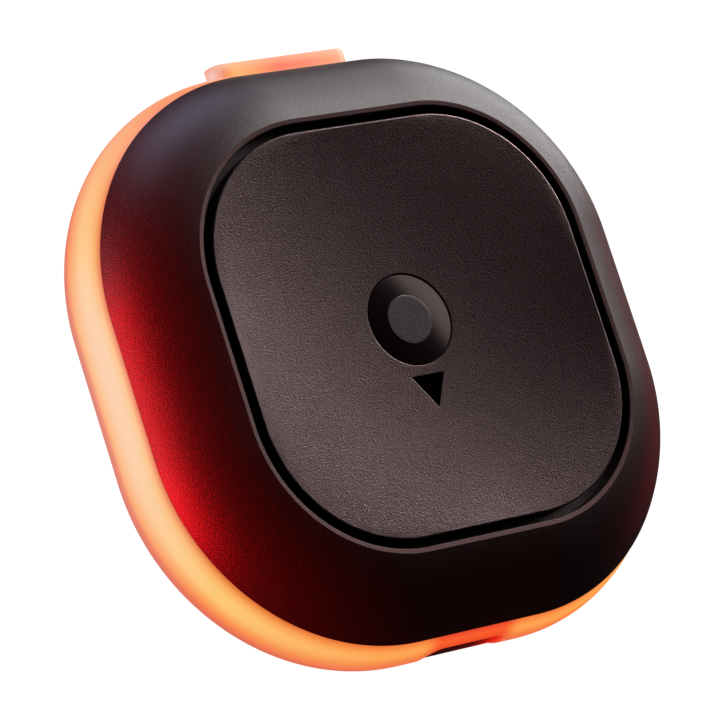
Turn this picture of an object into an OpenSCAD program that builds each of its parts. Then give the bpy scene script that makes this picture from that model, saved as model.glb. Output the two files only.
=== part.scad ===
// Rounded-square tracker tag with a lit edge ring, a push button in the middle of its face
// and a press-on back cover over a coin cell. Millimetres.
// The origin is the middle of the flat underside. +Z comes out of the face and +Y points at
// the lanyard lug. Every outline is a parallel curve of one small square, so one sweep with
// quarter-circle corners makes the plate, the bezel, the light ring, the seals and the cover.

/* [Body] */
// Height of the face plate's rim above the underside
top_z = 12.5; // [12.3:0.1:13.2]
// Half width of the small square that joins the centres of the corner arcs
core_half = 5.11; // [4.6:0.01:5.6]
// Height of the joint plane between the bezel and the light ring
seam_z = 7.6; // [7.5:0.05:7.65]

/* [Face plate] */
// Half width of the face plate
plate_half = 15; // [14.8:0.05:15.1]
// Depth of the dish in the face at its middle
dish_depth = 1.4; // [1.2:0.05:1.45]
// Radius of the dish's edge circle
dish_r = 14.5; // [14:0.1:14.6]
// Width of the groove around the plate
groove_w = 0.64; // [0.5:0.02:0.7]
// Distance from the middle of the pointer mark's flat side to the middle of the plate
pointer_y = 3.5; // [3.45:0.05:4]
// Width of the pointer mark
pointer_w = 2.74; // [2:0.02:3]
// Length of the pointer mark
pointer_l = 2.45; // [2:0.05:3]

/* [Bezel] */
// Half width at the start of the bezel's slope
lip_half = 16; // [15.95:0.01:16.1]
// Half width of the bezel at its lower edge
bezel_half = 21.19; // [21:0.01:21.3]
// Slope at the top of the bezel, degrees below level
slope_top = 20; // [18:1:21]
// Slope at the lower edge of the bezel, degrees below level
slope_low = 66; // [65:1:68]
// Thickness of the bezel wall
bezel_wall = 1.4; // [1.2:0.05:1.5]

/* [Button] */
// Distance of the button from the middle of the plate, towards the lug
button_y = 0.64; // [0:0.02:0.8]
// Radius of the hole in the face plate that guides the button
well_r = 3.42; // [3.4:0.01:3.45]
// Radius of the button's flat top
button_top_r = 1.84; // [1.6:0.02:2]
// Drop of the button's cone from its flat top to its edge
button_drop = 0.1; // [0.1:0.02:0.4]
// Travel of the button, which is also the clearance kept below it
button_travel = 0.3; // [0.2:0.05:0.3]

/* [Light ring] */
// Half width of the light ring at its widest
ring_half = 22; // [21.9:0.05:22.2]
// Radius of the light ring's half-round section
ring_r = 4.13; // [4.1:0.01:4.2]
// Height of the middle of the section
ring_z = 4.52; // [4.5:0.01:4.55]
// Half length of the finger recess in the lower side
recess_half = 3.55; // [3:0.05:4]
// Depth of the finger recess
recess_depth = 0.14; // [0.1:0.02:0.4]
// Height of the finger recess's upper edge
recess_top_z = 5.9; // [5.6:0.1:6]

/* [Lanyard lug] */
// Half width of the lug
lug_half = 5.85; // [5.5:0.05:6]
// Distance from the middle of the tag to the lug's outer face
lug_y = 22.9; // [22.7:0.05:23.2]
// Height of the lug's front face
lug_top_z = 5.85; // [5.8:0.05:5.9]
// Thickness of the lug
lug_t = 2; // [1.8:0.05:2.1]
// Width of the lanyard slot
slot_w = 7; // [6:0.1:7.2]
// Depth of the lanyard slot
slot_d = 1.35; // [1.2:0.05:1.4]

/* [Back cover] */
// Half width of the back cover
cover_half = 17.7; // [17.6:0.05:17.75]
// Thickness of the back cover's floor
cover_floor = 1.2; // [1.1:0.05:1.2]
// Width of a snap finger
snap_w = 4; // [3:0.1:4.2]

/* [Coin cell] */
// Radius of the coin cell, 10 for the 2032 size
cell_r = 10; // [10:0.1:10]
// Height of the coin cell, 3.2 for the 2032 size
cell_h = 3.2; // [3.2:0.1:3.2]

/* [Board] */
// Half width of the circuit board
board_half = 17.2; // [17:0.05:17.3]
// Thickness of the circuit board
board_t = 0.8; // [0.7:0.05:0.8]

/* [Hidden] */
$fn = 48;
eps = 0.01;            // how far a cut runs past a face
big = 60;              // larger than the tag

// Face plate and bezel
groove_half = plate_half + groove_w;
bevel = 0.12;          // bevel on the plate's edge
well_bevel = 0.04;     // bevel on the rim of the button's hole
lip_fall = 0.04;       // how far the bezel's lip falls towards the plate
shelf_z = 10.9;        // top of the shelf that carries the face plate
shelf_t = 0.9;
shelf_half = 12.6;
plate_wall = 1;
dish_R = (dish_r * dish_r + dish_depth * dish_depth) / (2 * dish_depth);
dish_z = top_z - dish_depth + dish_R;
face_z = dish_z - dish_R;                  // lowest point of the face
adhesive_t = 0.1;
guide_wall = 0.9;
guide_low = 9.5;
pointer_depth = 0.3;
slope_R = (bezel_half - lip_half) / (sin(slope_low) - sin(slope_top));
slope_x = lip_half - slope_R * sin(slope_top);
slope_z = top_z - slope_R * cos(slope_top);
slope_steps = 12;

// Light ring
ring_mid = ring_half - ring_r;
ring_in = 19;          // half width inside the ring
foot_z = 1.7;          // top of the ring's foot, on which the inner frame stands
gasket_in = 19.3;
gasket_out = 19.9;
gasket_t = 0.4;
ring_steps = 24;
slot_y = ring_half - 1.8;                  // inner edge of the lanyard slot

// Inner frame
frame_out = 18.8;
frame_in = 17.5;
frame_top = 8.2;
deck_z = 2.6;
deck_t = 0.7;
bay_r = cell_r + 0.15;
bay_wall = 0.95;
bay_top = 5.2;
boss_r = 1.8;
boss_xy = 11.03;

// Back cover
cover_edge = 0.5;
notch_d = 0.5;
spigot_out = 17.35;
spigot_in = 16.3;
spigot_top = 2.5;
seal_r = 0.24;
seal_z = 2.1;
snap_x = 15;
snap_t = 0.7;
snap_top = 4.2;
hook_d = 0.3;
hook_z = 3.45;

// Coin cell and its pad
cell_z = cover_floor + 0.4;
can_h = 2.95;
can_t = 0.25;
cap_r = 8.8;
gasket_r = 9.3;
pad_r = 6;

// Board
board_z = 5.6;                             // underside of the board
board_top = board_z + board_t;
screw_r = 0.66;
pilot_r = 0.68;
screw_hole_r = 0.8;
head_r = 1.25;
head_h = 0.8;
screw_top = 9.2;
led_size = [1.2, 2.8, 0.85];
led_half = 16.5;

// Switch and button
well_gap = 0.05;
switch_size = 5.2;
switch_h = 1.4;
plunger_r = 0.98;
plunger_top = 8.2;
post_r = 1;
flange_r = 4;
flange_z = 8.9;
flange_t = 0.5;
button_z = face_z + 0.07;                  // the flat top is level with the rim of its hole
carrier_in = 3.9;
carrier_out = 4.8;

// Points on an arc about [x, z], from angle a0 to angle a1
function arc(x, z, r, a0, a1, n) =
    [for (i = [0:n]) let (a = a0 + (a1 - a0) * i / n) [x + r * cos(a), z + r * sin(a)]];

// The same profile measured from the centre of the corner arcs
function from_core(points) = [for (p = points) [p[0] - core_half, p[1]]];

// A closed ring: the profile's points are [half width, height]
module ring(points) {
    profile = from_core(points);
    for (side = [0:3]) rotate(90 * side) {
        translate([core_half, core_half, 0]) rotate_extrude(angle = 90, $fn = 96) polygon(profile);
        translate([core_half, core_half, 0]) rotate([90, 0, 0])
            linear_extrude(2 * core_half) polygon(profile);
    }
}

// A full slab with the profile on its edge, from height z0 to height z1 in the middle
module slab(points, z0, z1) {
    ring(concat([[core_half, z0]], points, [[core_half, z1]]));
    translate([-core_half, -core_half, z0]) cube([2 * core_half, 2 * core_half, z1 - z0]);
}

// A slab with upright sides
module plain_slab(half, z0, z1) {
    slab([[half, z0], [half, z1]], z0, z1);
}

// A ring of rectangular section
module plain_ring(half_in, half_out, z0, z1) {
    ring([[half_in, z0], [half_out, z0], [half_out, z1], [half_in, z1]]);
}

// A tube about the Z axis
module tube(r_in, r_out, z0, z1) {
    translate([0, 0, z0]) difference() {
        cylinder(r = r_out, h = z1 - z0);
        translate([0, 0, -eps]) cylinder(r = r_in, h = z1 - z0 + 2 * eps);
    }
}

// A round post
module post(r, z0, z1) {
    translate([0, 0, z0]) cylinder(r = r, h = z1 - z0);
}

// A block that stands on height z, centred on [x, y]
module chip(x, y, size, z) {
    translate([x - size[0] / 2, y - size[1] / 2, z]) cube(size);
}

// Its children at the four screw places
module at_screws() {
    for (x = [-boss_xy, boss_xy], y = [-boss_xy, boss_xy]) translate([x, y, 0]) children();
}

// Its children at the middle of each side, facing outwards along +X
module at_sides() {
    for (side = [0:3]) rotate(90 * side) children();
}

// Its children at the four sides and the four corners, on the outline of the given half width
module at_leds(half) {
    for (side = [0:3]) rotate(90 * side) {
        translate([half, 0, 0]) children();
        translate([core_half, core_half, 0]) rotate(45) translate([half - core_half, 0, 0]) children();
    }
}

// Back cover and what lies on it

module back_cover() color("#26211f") {
    difference() {
        slab(concat(arc(cover_half - cover_edge, cover_edge, cover_edge, -90, 0, 6),
            [[cover_half, cover_floor]]), 0, cover_floor);
        // finger notch that meets the recess in the light ring
        translate([0, -cover_half, 0]) rotate([45, 0, 0])
            cube([2 * recess_half, notch_d, notch_d], center = true);
    }
    difference() {
        plain_ring(spigot_in, spigot_out, cover_floor - eps, spigot_top);
        plain_ring(spigot_out - 0.45, spigot_out + 1, seal_z - seal_r, seal_z + seal_r);
    }
    at_sides() snap_finger();
}

module snap_finger() {
    translate([snap_x, -snap_w / 2, cover_floor - eps]) cube([snap_t, snap_w, snap_top - cover_floor]);
    translate([snap_x + snap_t - eps, snap_w / 2, hook_z]) rotate([90, 0, 0])
        linear_extrude(snap_w)
            polygon([[0, 0], [hook_d, 0.1], [hook_d, 0.3], [0, snap_top - hook_z - 0.1]]);
}

module cover_seal() color("#1a1a1c") {
    seal_half = spigot_out - 0.45 + seal_r + 0.02;
    ring(arc(seal_half, seal_z, seal_r - 0.005, 0, 337.5, 15));
}

module cell_pad() color("#4a4a4c") post(pad_r, cover_floor, cell_z);

module cell_can() color("#c9cbcd") translate([0, 0, cell_z]) rotate_extrude($fn = 96)
    polygon(concat([[0, 0]], arc(cell_r - 0.4, 0.4, 0.4, -90, 0, 6),
        arc(cell_r - 0.3, can_h - 0.3, 0.3, 0, 90, 6),
        [[gasket_r, can_h], [gasket_r, can_t], [0, can_t]]));

module cell_gasket() color("#d8d4c4") tube(cap_r, gasket_r, cell_z + can_t, cell_z + can_h);

module cell_cap() color("#b4b7ba") translate([0, 0, cell_z]) rotate_extrude($fn = 96)
    polygon(concat([[cap_r - can_t, can_t], [cap_r, can_t]],
        arc(cap_r - 0.35, cell_h - 0.35, 0.35, 0, 90, 6),
        [[0, cell_h], [0, cell_h - can_t], [cap_r - can_t, cell_h - can_t]]));

// The pellets that fill the cell
module cell_core() color("#2b2b2d") post(cap_r - can_t, cell_z + can_t, cell_z + cell_h - can_t);

// Bezel, face plate and light ring

module bezel_shell() color("#4b4547") {
    inner_R = slope_R - bezel_wall;
    shelf_low = shelf_z - shelf_t;
    difference() {
        union() {
            ring(concat([[shelf_half, shelf_low], [shelf_half, shelf_z], [groove_half, shelf_z],
                [groove_half, top_z - lip_fall]],
                arc(slope_x, slope_z, slope_R, 90 - slope_top, 90 - slope_low, slope_steps),
                [[bezel_half, seam_z]],
                arc(slope_x, slope_z, inner_R, asin((seam_z - slope_z) / inner_R),
                    asin((shelf_low - slope_z) / inner_R), slope_steps)));
            at_screws() post(boss_r, board_top, shelf_low + 0.1);
        }
        at_screws() post(pilot_r, board_top - eps, screw_top + 0.2);
    }
}

module face_plate() color("#3c3434") difference() {
    union() {
        slab([[plate_half, shelf_z + adhesive_t], [plate_half, top_z - bevel],
            [plate_half - bevel, top_z]], shelf_z + adhesive_t, top_z);
        // the underside follows the dish
        intersection() {
            post(dish_r, face_z - plate_wall - 1, top_z - bevel);
            translate([0, 0, dish_z]) sphere(r = dish_R + plate_wall, $fn = 96);
        }
        translate([0, button_y, 0]) post(well_r + guide_wall, guide_low, face_z);
    }
    translate([0, 0, dish_z]) sphere(r = dish_R, $fn = 96);
    translate([0, button_y, 0]) {
        post(well_r, guide_low - 1, top_z);
        translate([0, 0, face_z - well_bevel]) cylinder(r1 = well_r, r2 = well_r + 1, h = 1);
    }
    // pointer mark
    translate([0, -pointer_y, face_z - pointer_depth + 0.1]) linear_extrude(big)
        polygon([[-pointer_w / 2, 0], [0, -pointer_l], [pointer_w / 2, 0]]);
}

module plate_adhesive() color("#15110f")
    plain_ring(shelf_half + 0.2, plate_half - 0.3, shelf_z, shelf_z + adhesive_t);

module light_ring() color("#ff8a3c") {
    top_angle = asin((seam_z - ring_z) / ring_r);
    difference() {
        union() {
            ring(concat([[ring_mid, foot_z], [ring_in, foot_z], [ring_in, seam_z]],
                arc(ring_mid, ring_z, ring_r, top_angle, -90, ring_steps)));
            lug();
        }
        plain_ring(gasket_in, gasket_out, seam_z - gasket_t, seam_z + 1);
        // lanyard slot, from the gap under the bezel down through the ring
        translate([-slot_w / 2, slot_y, -1]) cube([slot_w, slot_d, seam_z + 2]);
        translate([-slot_w / 2, slot_y, lug_top_z]) cube([slot_w, 5, seam_z]);
        finger_recess();
    }
}

// The lug stands on the lanyard side of the ring, and its two ends are half-rounds
module lug() {
    root = ring_in + 0.5;
    middle = lug_half - lug_t / 2;
    translate([-middle, root, lug_top_z - lug_t]) cube([2 * middle, lug_y - root, lug_t]);
    for (x = [-middle, middle])
        translate([x, lug_y, lug_top_z - lug_t / 2]) rotate([90, 0, 0])
            cylinder(d = lug_t, h = lug_y - root);
}

// A shallow recess that follows the ring's section on the side away from the lug
module finger_recess() {
    difference() {
        translate([-recess_half, -ring_half - 1, -1]) cube([2 * recess_half, 3, recess_top_z + 1]);
        translate([-recess_half - 1, -ring_mid, ring_z]) rotate([0, 90, 0])
            cylinder(r = ring_r - recess_depth, h = 2 * recess_half + 2);
    }
}

module ring_gasket() color("#1a1a1c")
    plain_ring(gasket_in + 0.05, gasket_out - 0.05, seam_z - gasket_t, seam_z);

// Inner frame, board and what is on it

module inner_frame() color("#e9e6df") difference() {
    union() {
        plain_ring(frame_in, frame_out, foot_z, frame_top);
        plain_slab(frame_in + 0.1, deck_z, deck_z + deck_t);
        post(bay_r + bay_wall, deck_z, bay_top);
        at_screws() post(boss_r, deck_z, board_z);
    }
    post(bay_r, deck_z - 1, bay_top + 1);
    at_screws() {
        post(screw_hole_r, deck_z - 1, board_z + 1);
        post(head_r + 0.15, deck_z - 1, deck_z + head_h + 0.1);
    }
    at_sides() translate([snap_x - 0.4, -snap_w / 2 - 0.3, deck_z - 1])
        cube([snap_t + hook_d + 0.8, snap_w + 0.6, deck_t + 2]);
    // windows for the lamps
    at_leds(frame_in - 0.3) translate([0, -1.6, board_z - 1.1]) cube([2, 3.2, 1.2]);
    // gap for the positive contact
    translate([bay_r - 0.5, -3.2, deck_z + deck_t]) cube([2, 6.4, bay_top]);
}

module case_screws() color("#9a9c9e") at_screws() difference() {
    union() {
        post(head_r, deck_z + 0.05, deck_z + head_h + 0.05);
        post(screw_r, deck_z + head_h, screw_top);
    }
    for (turn = [0, 90]) rotate(turn) translate([-0.8, -0.14, deck_z - 0.2]) cube([1.6, 0.28, 0.65]);
}

module circuit_board() color("#14241c") difference() {
    plain_slab(board_half, board_z, board_top);
    at_screws() post(screw_hole_r, board_z - 1, board_top + 1);
}

// Lamps that shine sideways through the frame's windows into the light ring
module ring_leds() color("#fff2d8") at_leds(led_half)
    translate([-led_size[0] / 2, -led_size[1] / 2, board_z - led_size[2]]) difference() {
        cube(led_size);
        translate([led_size[0] - 0.15, 0.4, 0.15]) cube([1, led_size[1] - 0.8, led_size[2] - 0.3]);
    }

module radio_chip() color("#1c1c1e") chip(-9.5, 4, [5, 5, 0.85], board_top);

module shield_can() color("#bfc1c3") difference() {
    chip(-9.5, 3.2, [8, 9.6, 1.6], board_top);
    chip(-9.5, 3.2, [7.6, 9.2, 1.4], board_top - eps);
}

module crystal() color("#c8b98a") chip(-9.5, -0.3, [2, 1.6, 0.5], board_top);

module chip_antenna() color("#e6e2d8") chip(0, 14.6, [7, 2, 1.1], board_top);

module motion_sensor() color("#1c1c1e") chip(7.4, 8, [2, 2, 0.9], board_top);

module led_driver() color("#1c1c1e") chip(-8.6, -5.2, [3, 3, 0.75], board_top);

module power_converter() color("#1c1c1e") chip(9.2, 2.6, [2.5, 2, 0.8], board_top);

module power_inductor() color("#3a3a3c") chip(9.2, -0.6, [2.5, 2.5, 1.2], board_top);

module capacitors() color("#b08c64") {
    for (i = [0:4]) chip(-14.8, -3 + 2 * i, [1, 0.5, 0.5], board_top);
    for (i = [0:3]) chip(7.4 + 1.6 * i, -3.6, [0.5, 1, 0.5], board_top);
    for (i = [0:2]) chip(2.6 + 1.6 * i, 12, [0.5, 1, 0.5], board_top);
}

module resistors() color("#26262a") {
    for (i = [0:3]) chip(13.8, -1 + 2 * i, [1, 0.5, 0.35], board_top);
    for (i = [0:3]) chip(-2.6 - 1.4 * i, 9.6, [0.5, 1, 0.35], board_top);
}

module switch_body() color("#232325") translate([0, button_y, 0]) difference() {
    chip(0, 0, [switch_size, switch_size, switch_h], board_top);
    post(1.6, board_top + 0.2, board_top + switch_h - 0.4);
    post(plunger_r + 0.07, board_top + 0.3, board_top + switch_h + 1);
}

module switch_dome() color("#d0d2d4") translate([0, button_y, board_top + 0.2]) difference() {
    intersection() {
        translate([0, 0, -6]) sphere(r = 6.2, $fn = 64);
        cylinder(r = 1.5, h = 1);
    }
    translate([0, 0, -6.08]) sphere(r = 6.2, $fn = 64);
}

module button_carrier() color("#e9e6df") translate([0, button_y, 0]) {
    tube(carrier_in, carrier_out, board_top, plunger_top);
    tube(carrier_out - 0.3, carrier_out, plunger_top - eps, plunger_top + 0.3);
}

module button_seal() color("#1a1a1c") translate([0, button_y, 0])
    tube(post_r + 0.12, carrier_out - 0.35, plunger_top, plunger_top + 0.3);

module buzzer_case() color("#1c1c1e") difference() {
    chip(0, -11, [9, 9, 1.9], board_top);
    translate([0, -11, 0]) post(4.1, board_top + 0.3, board_top + 1.6);
    translate([0, -11, 0]) post(0.5, board_top + 1.5, board_top + 2.5);
}

module buzzer_disc() color("#c9a24a") translate([0, -11, 0]) post(4.1, board_top + 0.8, board_top + 0.95);

module buzzer_ceramic() color("#efece4") translate([0, -11, 0]) post(3, board_top + 0.95, board_top + 1.1);

module positive_contact() color("#cfd0d0") {
    translate([bay_r + 0.1, -2.5, board_z - 0.15]) cube([2.6, 5, 0.15]);
    translate([bay_r + 0.1, -2.5, 3.6]) cube([0.2, 5, board_z - 3.6]);
}

// Three spring fingers under the board that reach for the cell's cap
module negative_contact() color("#cfd0d0") {
    post(1.6, board_z - 0.15, board_z);
    for (turn = [0:2]) rotate(120 * turn) {
        translate([0.5, -0.6, board_z - 0.15]) rotate([0, 8, 0]) cube([3.6, 1.2, 0.12]);
        chip(4.2, 0, [0.7, 1.2, 0.12], board_z - 0.68);
    }
}

// Button

module button_cap() color("#2a2525") translate([0, button_y, 0]) difference() {
    rotate_extrude($fn = 96) polygon([[0, plunger_top], [post_r, plunger_top], [post_r, flange_z],
        [flange_r, flange_z], [flange_r, flange_z + flange_t], [well_r - well_gap, flange_z + flange_t],
        [well_r - well_gap, button_z - button_drop], [button_top_r, button_z - 0.04],
        [button_top_r - 0.08, button_z], [0, button_z]]);
    // the cap is cored out around its post
    tube(post_r + 0.4, well_r - well_gap - 0.7, flange_z - eps, button_z - button_drop - 0.7);
}

module switch_plunger() color("#e6e2d8") translate([0, button_y, 0]) {
    post(plunger_r, board_top + 0.75, plunger_top);
    post(plunger_r + 0.42, board_top + 0.75, board_top + 0.95);
}

back_cover();
cover_seal();
cell_pad();
cell_can();
cell_gasket();
cell_cap();
cell_core();
bezel_shell();
face_plate();
plate_adhesive();
light_ring();
ring_gasket();
inner_frame();
case_screws();
circuit_board();
ring_leds();
radio_chip();
shield_can();
crystal();
chip_antenna();
motion_sensor();
led_driver();
power_converter();
power_inductor();
capacitors();
resistors();
switch_body();
switch_dome();
button_carrier();
button_seal();
buzzer_case();
buzzer_disc();
buzzer_ceramic();
positive_contact();
negative_contact();
button_cap();
switch_plunger();
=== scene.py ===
"""Looks of a rounded-square radio tracker tag with a lit edge ring.

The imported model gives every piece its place. The pieces that show from outside are worked out
again here as smooth surfaces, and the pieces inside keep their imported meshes. Lengths in this
file are in millimetres and are turned to metres where a mesh, a lamp or the camera is made.
"""

import logging
import math
from collections.abc import Callable, Iterable, Sequence
from dataclasses import dataclass, field
from enum import Enum

import bmesh
import bpy
import numpy as np
from mathutils import Matrix, Vector
from mathutils.geometry import delaunay_2d_cdt


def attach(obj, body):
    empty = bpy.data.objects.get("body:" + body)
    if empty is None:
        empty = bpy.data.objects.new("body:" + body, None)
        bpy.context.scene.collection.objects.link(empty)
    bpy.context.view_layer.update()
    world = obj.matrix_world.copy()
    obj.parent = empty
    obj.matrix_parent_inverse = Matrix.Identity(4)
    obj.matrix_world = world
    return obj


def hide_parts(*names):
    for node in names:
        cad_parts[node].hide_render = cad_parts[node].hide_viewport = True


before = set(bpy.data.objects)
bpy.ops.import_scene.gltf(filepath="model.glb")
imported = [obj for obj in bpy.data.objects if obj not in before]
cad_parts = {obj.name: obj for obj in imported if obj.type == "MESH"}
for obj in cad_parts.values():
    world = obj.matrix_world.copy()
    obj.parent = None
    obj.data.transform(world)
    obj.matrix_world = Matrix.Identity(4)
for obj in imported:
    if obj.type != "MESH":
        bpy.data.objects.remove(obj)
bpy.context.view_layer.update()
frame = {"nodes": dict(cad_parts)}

LOG = logging.getLogger("tag")
MM = 0.001  # metres in a millimetre
CORE = 5.11  # half width of the square that joins the centres of the outlines' corner arcs
SEAM = 0.0004  # points nearer than this, in millimetres, are one point
TOP = 12.5  # height of the face plate's rim above the underside
Points = np.ndarray  # rows of x, y, z or of two coordinates, in millimetres
Height = Callable[[np.ndarray, np.ndarray], np.ndarray]  # a third coordinate from two


class Body(Enum):
    """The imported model's bodies."""

    COVER = "cover"
    HOUSING = "housing"
    BUTTON = "button"


# ---------------------------------------------------------------- surfaces


@dataclass
class Surface:
    """A surface under construction: points in millimetres, and faces of four or three corners."""

    points: np.ndarray
    quads: np.ndarray = field(default_factory=lambda: np.zeros((0, 4), int))
    triangles: np.ndarray = field(default_factory=lambda: np.zeros((0, 3), int))

    def __add__(self, other: "Surface") -> "Surface":
        """Both surfaces as one. Their seams close when the mesh is made.

        Args:
            other: The second surface, whose faces' point numbers move past the first's.

        Returns:
            The joint surface.
        """
        shift = len(self.points)
        return Surface(
            np.vstack([self.points, other.points]),
            np.vstack([self.quads, other.quads + shift]),
            np.vstack([self.triangles, other.triangles + shift]),
        )

    def moved(self, x: float = 0.0, y: float = 0.0, z: float = 0.0) -> "Surface":
        """The surface moved by x, y and z."""
        return Surface(self.points + np.array([x, y, z]), self.quads, self.triangles)

    def turned(self, degrees: float) -> "Surface":
        """The surface turned about the Z axis.

        Args:
            degrees: The angle from X towards Y.

        Returns:
            The turned surface.
        """
        angle = math.radians(degrees)
        c, s = math.cos(angle), math.sin(angle)
        turn = np.array([[c, -s, 0], [s, c, 0], [0, 0, 1]])
        return Surface(self.points @ turn.T, self.quads, self.triangles)


def loft(loops: np.ndarray, closed: bool = False) -> Surface:
    """Joins each closed loop to the next with a band of quads.

    Args:
        loops: An array of loops, points and x, y, z.
        closed: Whether the last loop joins the first one, as round a tube.

    Returns:
        The surface. Loops that shrink to one point close it with triangles.
    """
    rows, around = loops.shape[:2]
    index = np.arange(rows * around).reshape(rows, around)
    if closed:
        index = np.vstack([index, index[:1]])
    low, high = index[:-1], index[1:]
    quads = np.stack([low, np.roll(low, -1, 1), np.roll(high, -1, 1), high], -1)
    return Surface(loops.reshape(-1, 3), quads.reshape(-1, 4))


def core_path(per_corner: int, per_side: int) -> tuple[Points, Points]:
    """The path that every outline runs parallel to.

    Each corner stays on one corner of the core square while its normal turns by a right angle.
    Each side moves along the core square while its normal stays.

    Args:
        per_corner: Steps in a corner.
        per_side: Steps along a side.

    Returns:
        The points on the core square and the outward unit normals, as rows of x and y.
    """
    turn = np.arange(per_corner) / per_corner
    slide = np.arange(per_side) / per_side
    quarter = np.arange(4)[:, None]
    corner_angle = np.pi / 2 * (quarter + turn)
    side_angle = np.broadcast_to(np.pi / 2 * (quarter + 1), (4, per_side))
    angle = np.hstack([corner_angle, side_angle]).ravel()
    centre = np.pi / 2 * quarter + np.pi / 4
    here = CORE * math.sqrt(2) * np.stack([np.cos(centre), np.sin(centre)], -1)
    there = np.roll(here, -1, 0)
    at_corner = np.broadcast_to(here, (4, per_corner, 2))
    along = here + (there - here) * slide[None, :, None]
    base = np.concatenate([at_corner, along], 1).reshape(-1, 2)
    return base, np.stack([np.cos(angle), np.sin(angle)], -1)


def outline_loops(profile: Points, per_corner: int = 40, per_side: int = 24) -> np.ndarray:
    """One rounded-square loop for each profile point.

    Args:
        profile: Rows of half width and height.
        per_corner: Steps in a corner.
        per_side: Steps along a side.

    Returns:
        The loops, as an array of loops, points and x, y, z.
    """
    base, normal = core_path(per_corner, per_side)
    reach = (profile[:, 0] - CORE)[:, None, None]
    flat = base[None] + reach * normal[None]
    height = np.broadcast_to(profile[:, 1, None, None], (*flat.shape[:2], 1))
    return np.concatenate([flat, height], -1)


def circle_loops(profile: Points, around: int = 96, x: float = 0.0, y: float = 0.0) -> np.ndarray:
    """One circle for each profile point.

    Args:
        profile: Rows of radius and height.
        around: Points in each circle.
        x: The axis's place along X.
        y: The axis's place along Y.

    Returns:
        The circles, as an array of loops, points and x, y, z.
    """
    angle = np.arange(around) / around * 2 * np.pi
    ring = np.stack([np.cos(angle), np.sin(angle)], -1)
    flat = profile[:, 0, None, None] * ring[None] + np.array([x, y])
    height = np.broadcast_to(profile[:, 1, None, None], (*flat.shape[:2], 1))
    return np.concatenate([flat, height], -1)


def arc(x: float, z: float, radius: float, start: float, end: float, steps: int) -> Points:
    """Points on an arc of a circle.

    Args:
        x: The centre's first coordinate.
        z: The centre's second coordinate.
        radius: The circle's radius.
        start: The first point's angle in degrees.
        end: The last point's angle in degrees.
        steps: Steps from the first point to the last.

    Returns:
        The points, as rows of two coordinates.
    """
    angle = np.radians(np.linspace(start, end, steps + 1))
    return np.stack([x + radius * np.cos(angle), z + radius * np.sin(angle)], -1)


def rounded(corners: list[tuple[float, float, float]], steps: int = 5) -> Points:
    """A closed outline whose corners are rounded by arcs.

    An arc's centre lies on the corner's bisector at the radius over the sine of half the corner,
    and its points turn evenly from one side's touching point to the other's.

    Args:
        corners: Each corner's two coordinates and its radius, where 0 keeps it sharp.
        steps: Steps in each arc.

    Returns:
        The outline's points. An arc touches both straight lines that meet at its corner.
    """
    points = np.array(corners, float)
    straight = math.radians(89)  # half of an angle that is too flat to round
    rows = []
    for i, (here, radius) in enumerate(zip(points[:, :2], points[:, 2])):
        before, after = points[i - 1, :2], points[(i + 1) % len(points), :2]
        to_before = (before - here) / np.linalg.norm(before - here)
        to_after = (after - here) / np.linalg.norm(after - here)
        half = math.acos(np.clip(to_before @ to_after, -1, 1)) / 2
        if radius == 0 or half > straight:
            rows.append(here[None])
            continue
        middle = (to_before + to_after) / np.linalg.norm(to_before + to_after)
        centre = here + middle * radius / math.sin(half)
        first = here + to_before * radius / math.tan(half) - centre
        last = here + to_after * radius / math.tan(half) - centre
        sweep = math.pi - 2 * half
        part = np.linspace(0, 1, steps + 1)[:, None]
        blend = np.sin((1 - part) * sweep) * first + np.sin(part * sweep) * last
        rows.append(centre + blend / math.sin(sweep))
    return np.vstack(rows)


def resampled(loop: Points, step: float) -> Points:
    """A closed outline with extra points on its edges.

    Args:
        loop: The outline's points.
        step: The length that no edge is longer than.

    Returns:
        The outline, with its edges divided evenly.
    """
    rows = []
    for here, after in zip(loop, np.roll(loop, -1, 0)):
        count = max(1, math.ceil(np.linalg.norm(after - here) / step))
        rows.append(here + (after - here) * (np.arange(count) / count)[:, None])
    return np.vstack(rows)


def rounded_block(size: tuple[float, float, float], radius: float, steps: int = 4) -> Surface:
    """A block with rounded edges and corners, centred on the origin.

    It is the eight parts of a sphere of the edge radius, drawn apart to the block's corners, so
    that the bands between them are the flat faces and the round edges.

    Args:
        size: The block's size along x, y and z.
        radius: The radius of its edges.
        steps: Steps in each rounded edge.

    Returns:
        The closed surface.
    """
    part = np.linspace(0, np.pi / 2, steps + 1)
    around = (np.arange(4)[:, None] * np.pi / 2 + part).ravel()
    side_x = np.repeat([1, -1, -1, 1], steps + 1)
    side_y = np.repeat([1, 1, -1, -1], steps + 1)
    rise = np.concatenate([part - np.pi / 2, part])
    side_z = np.repeat([-1, 1], steps + 1)
    reach = np.array(size) / 2 - radius
    x = side_x * reach[0] + radius * np.cos(rise)[:, None] * np.cos(around)
    y = side_y * reach[1] + radius * np.cos(rise)[:, None] * np.sin(around)
    z = np.broadcast_to((side_z * reach[2] + radius * np.sin(rise))[:, None], x.shape)
    block = loft(np.stack([x, y, z], -1))
    corners = np.arange(4) * (steps + 1)
    caps = np.array([corners[::-1], corners + (len(rise) - 1) * len(around)])
    return Surface(block.points, np.vstack([block.quads, caps]))


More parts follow.
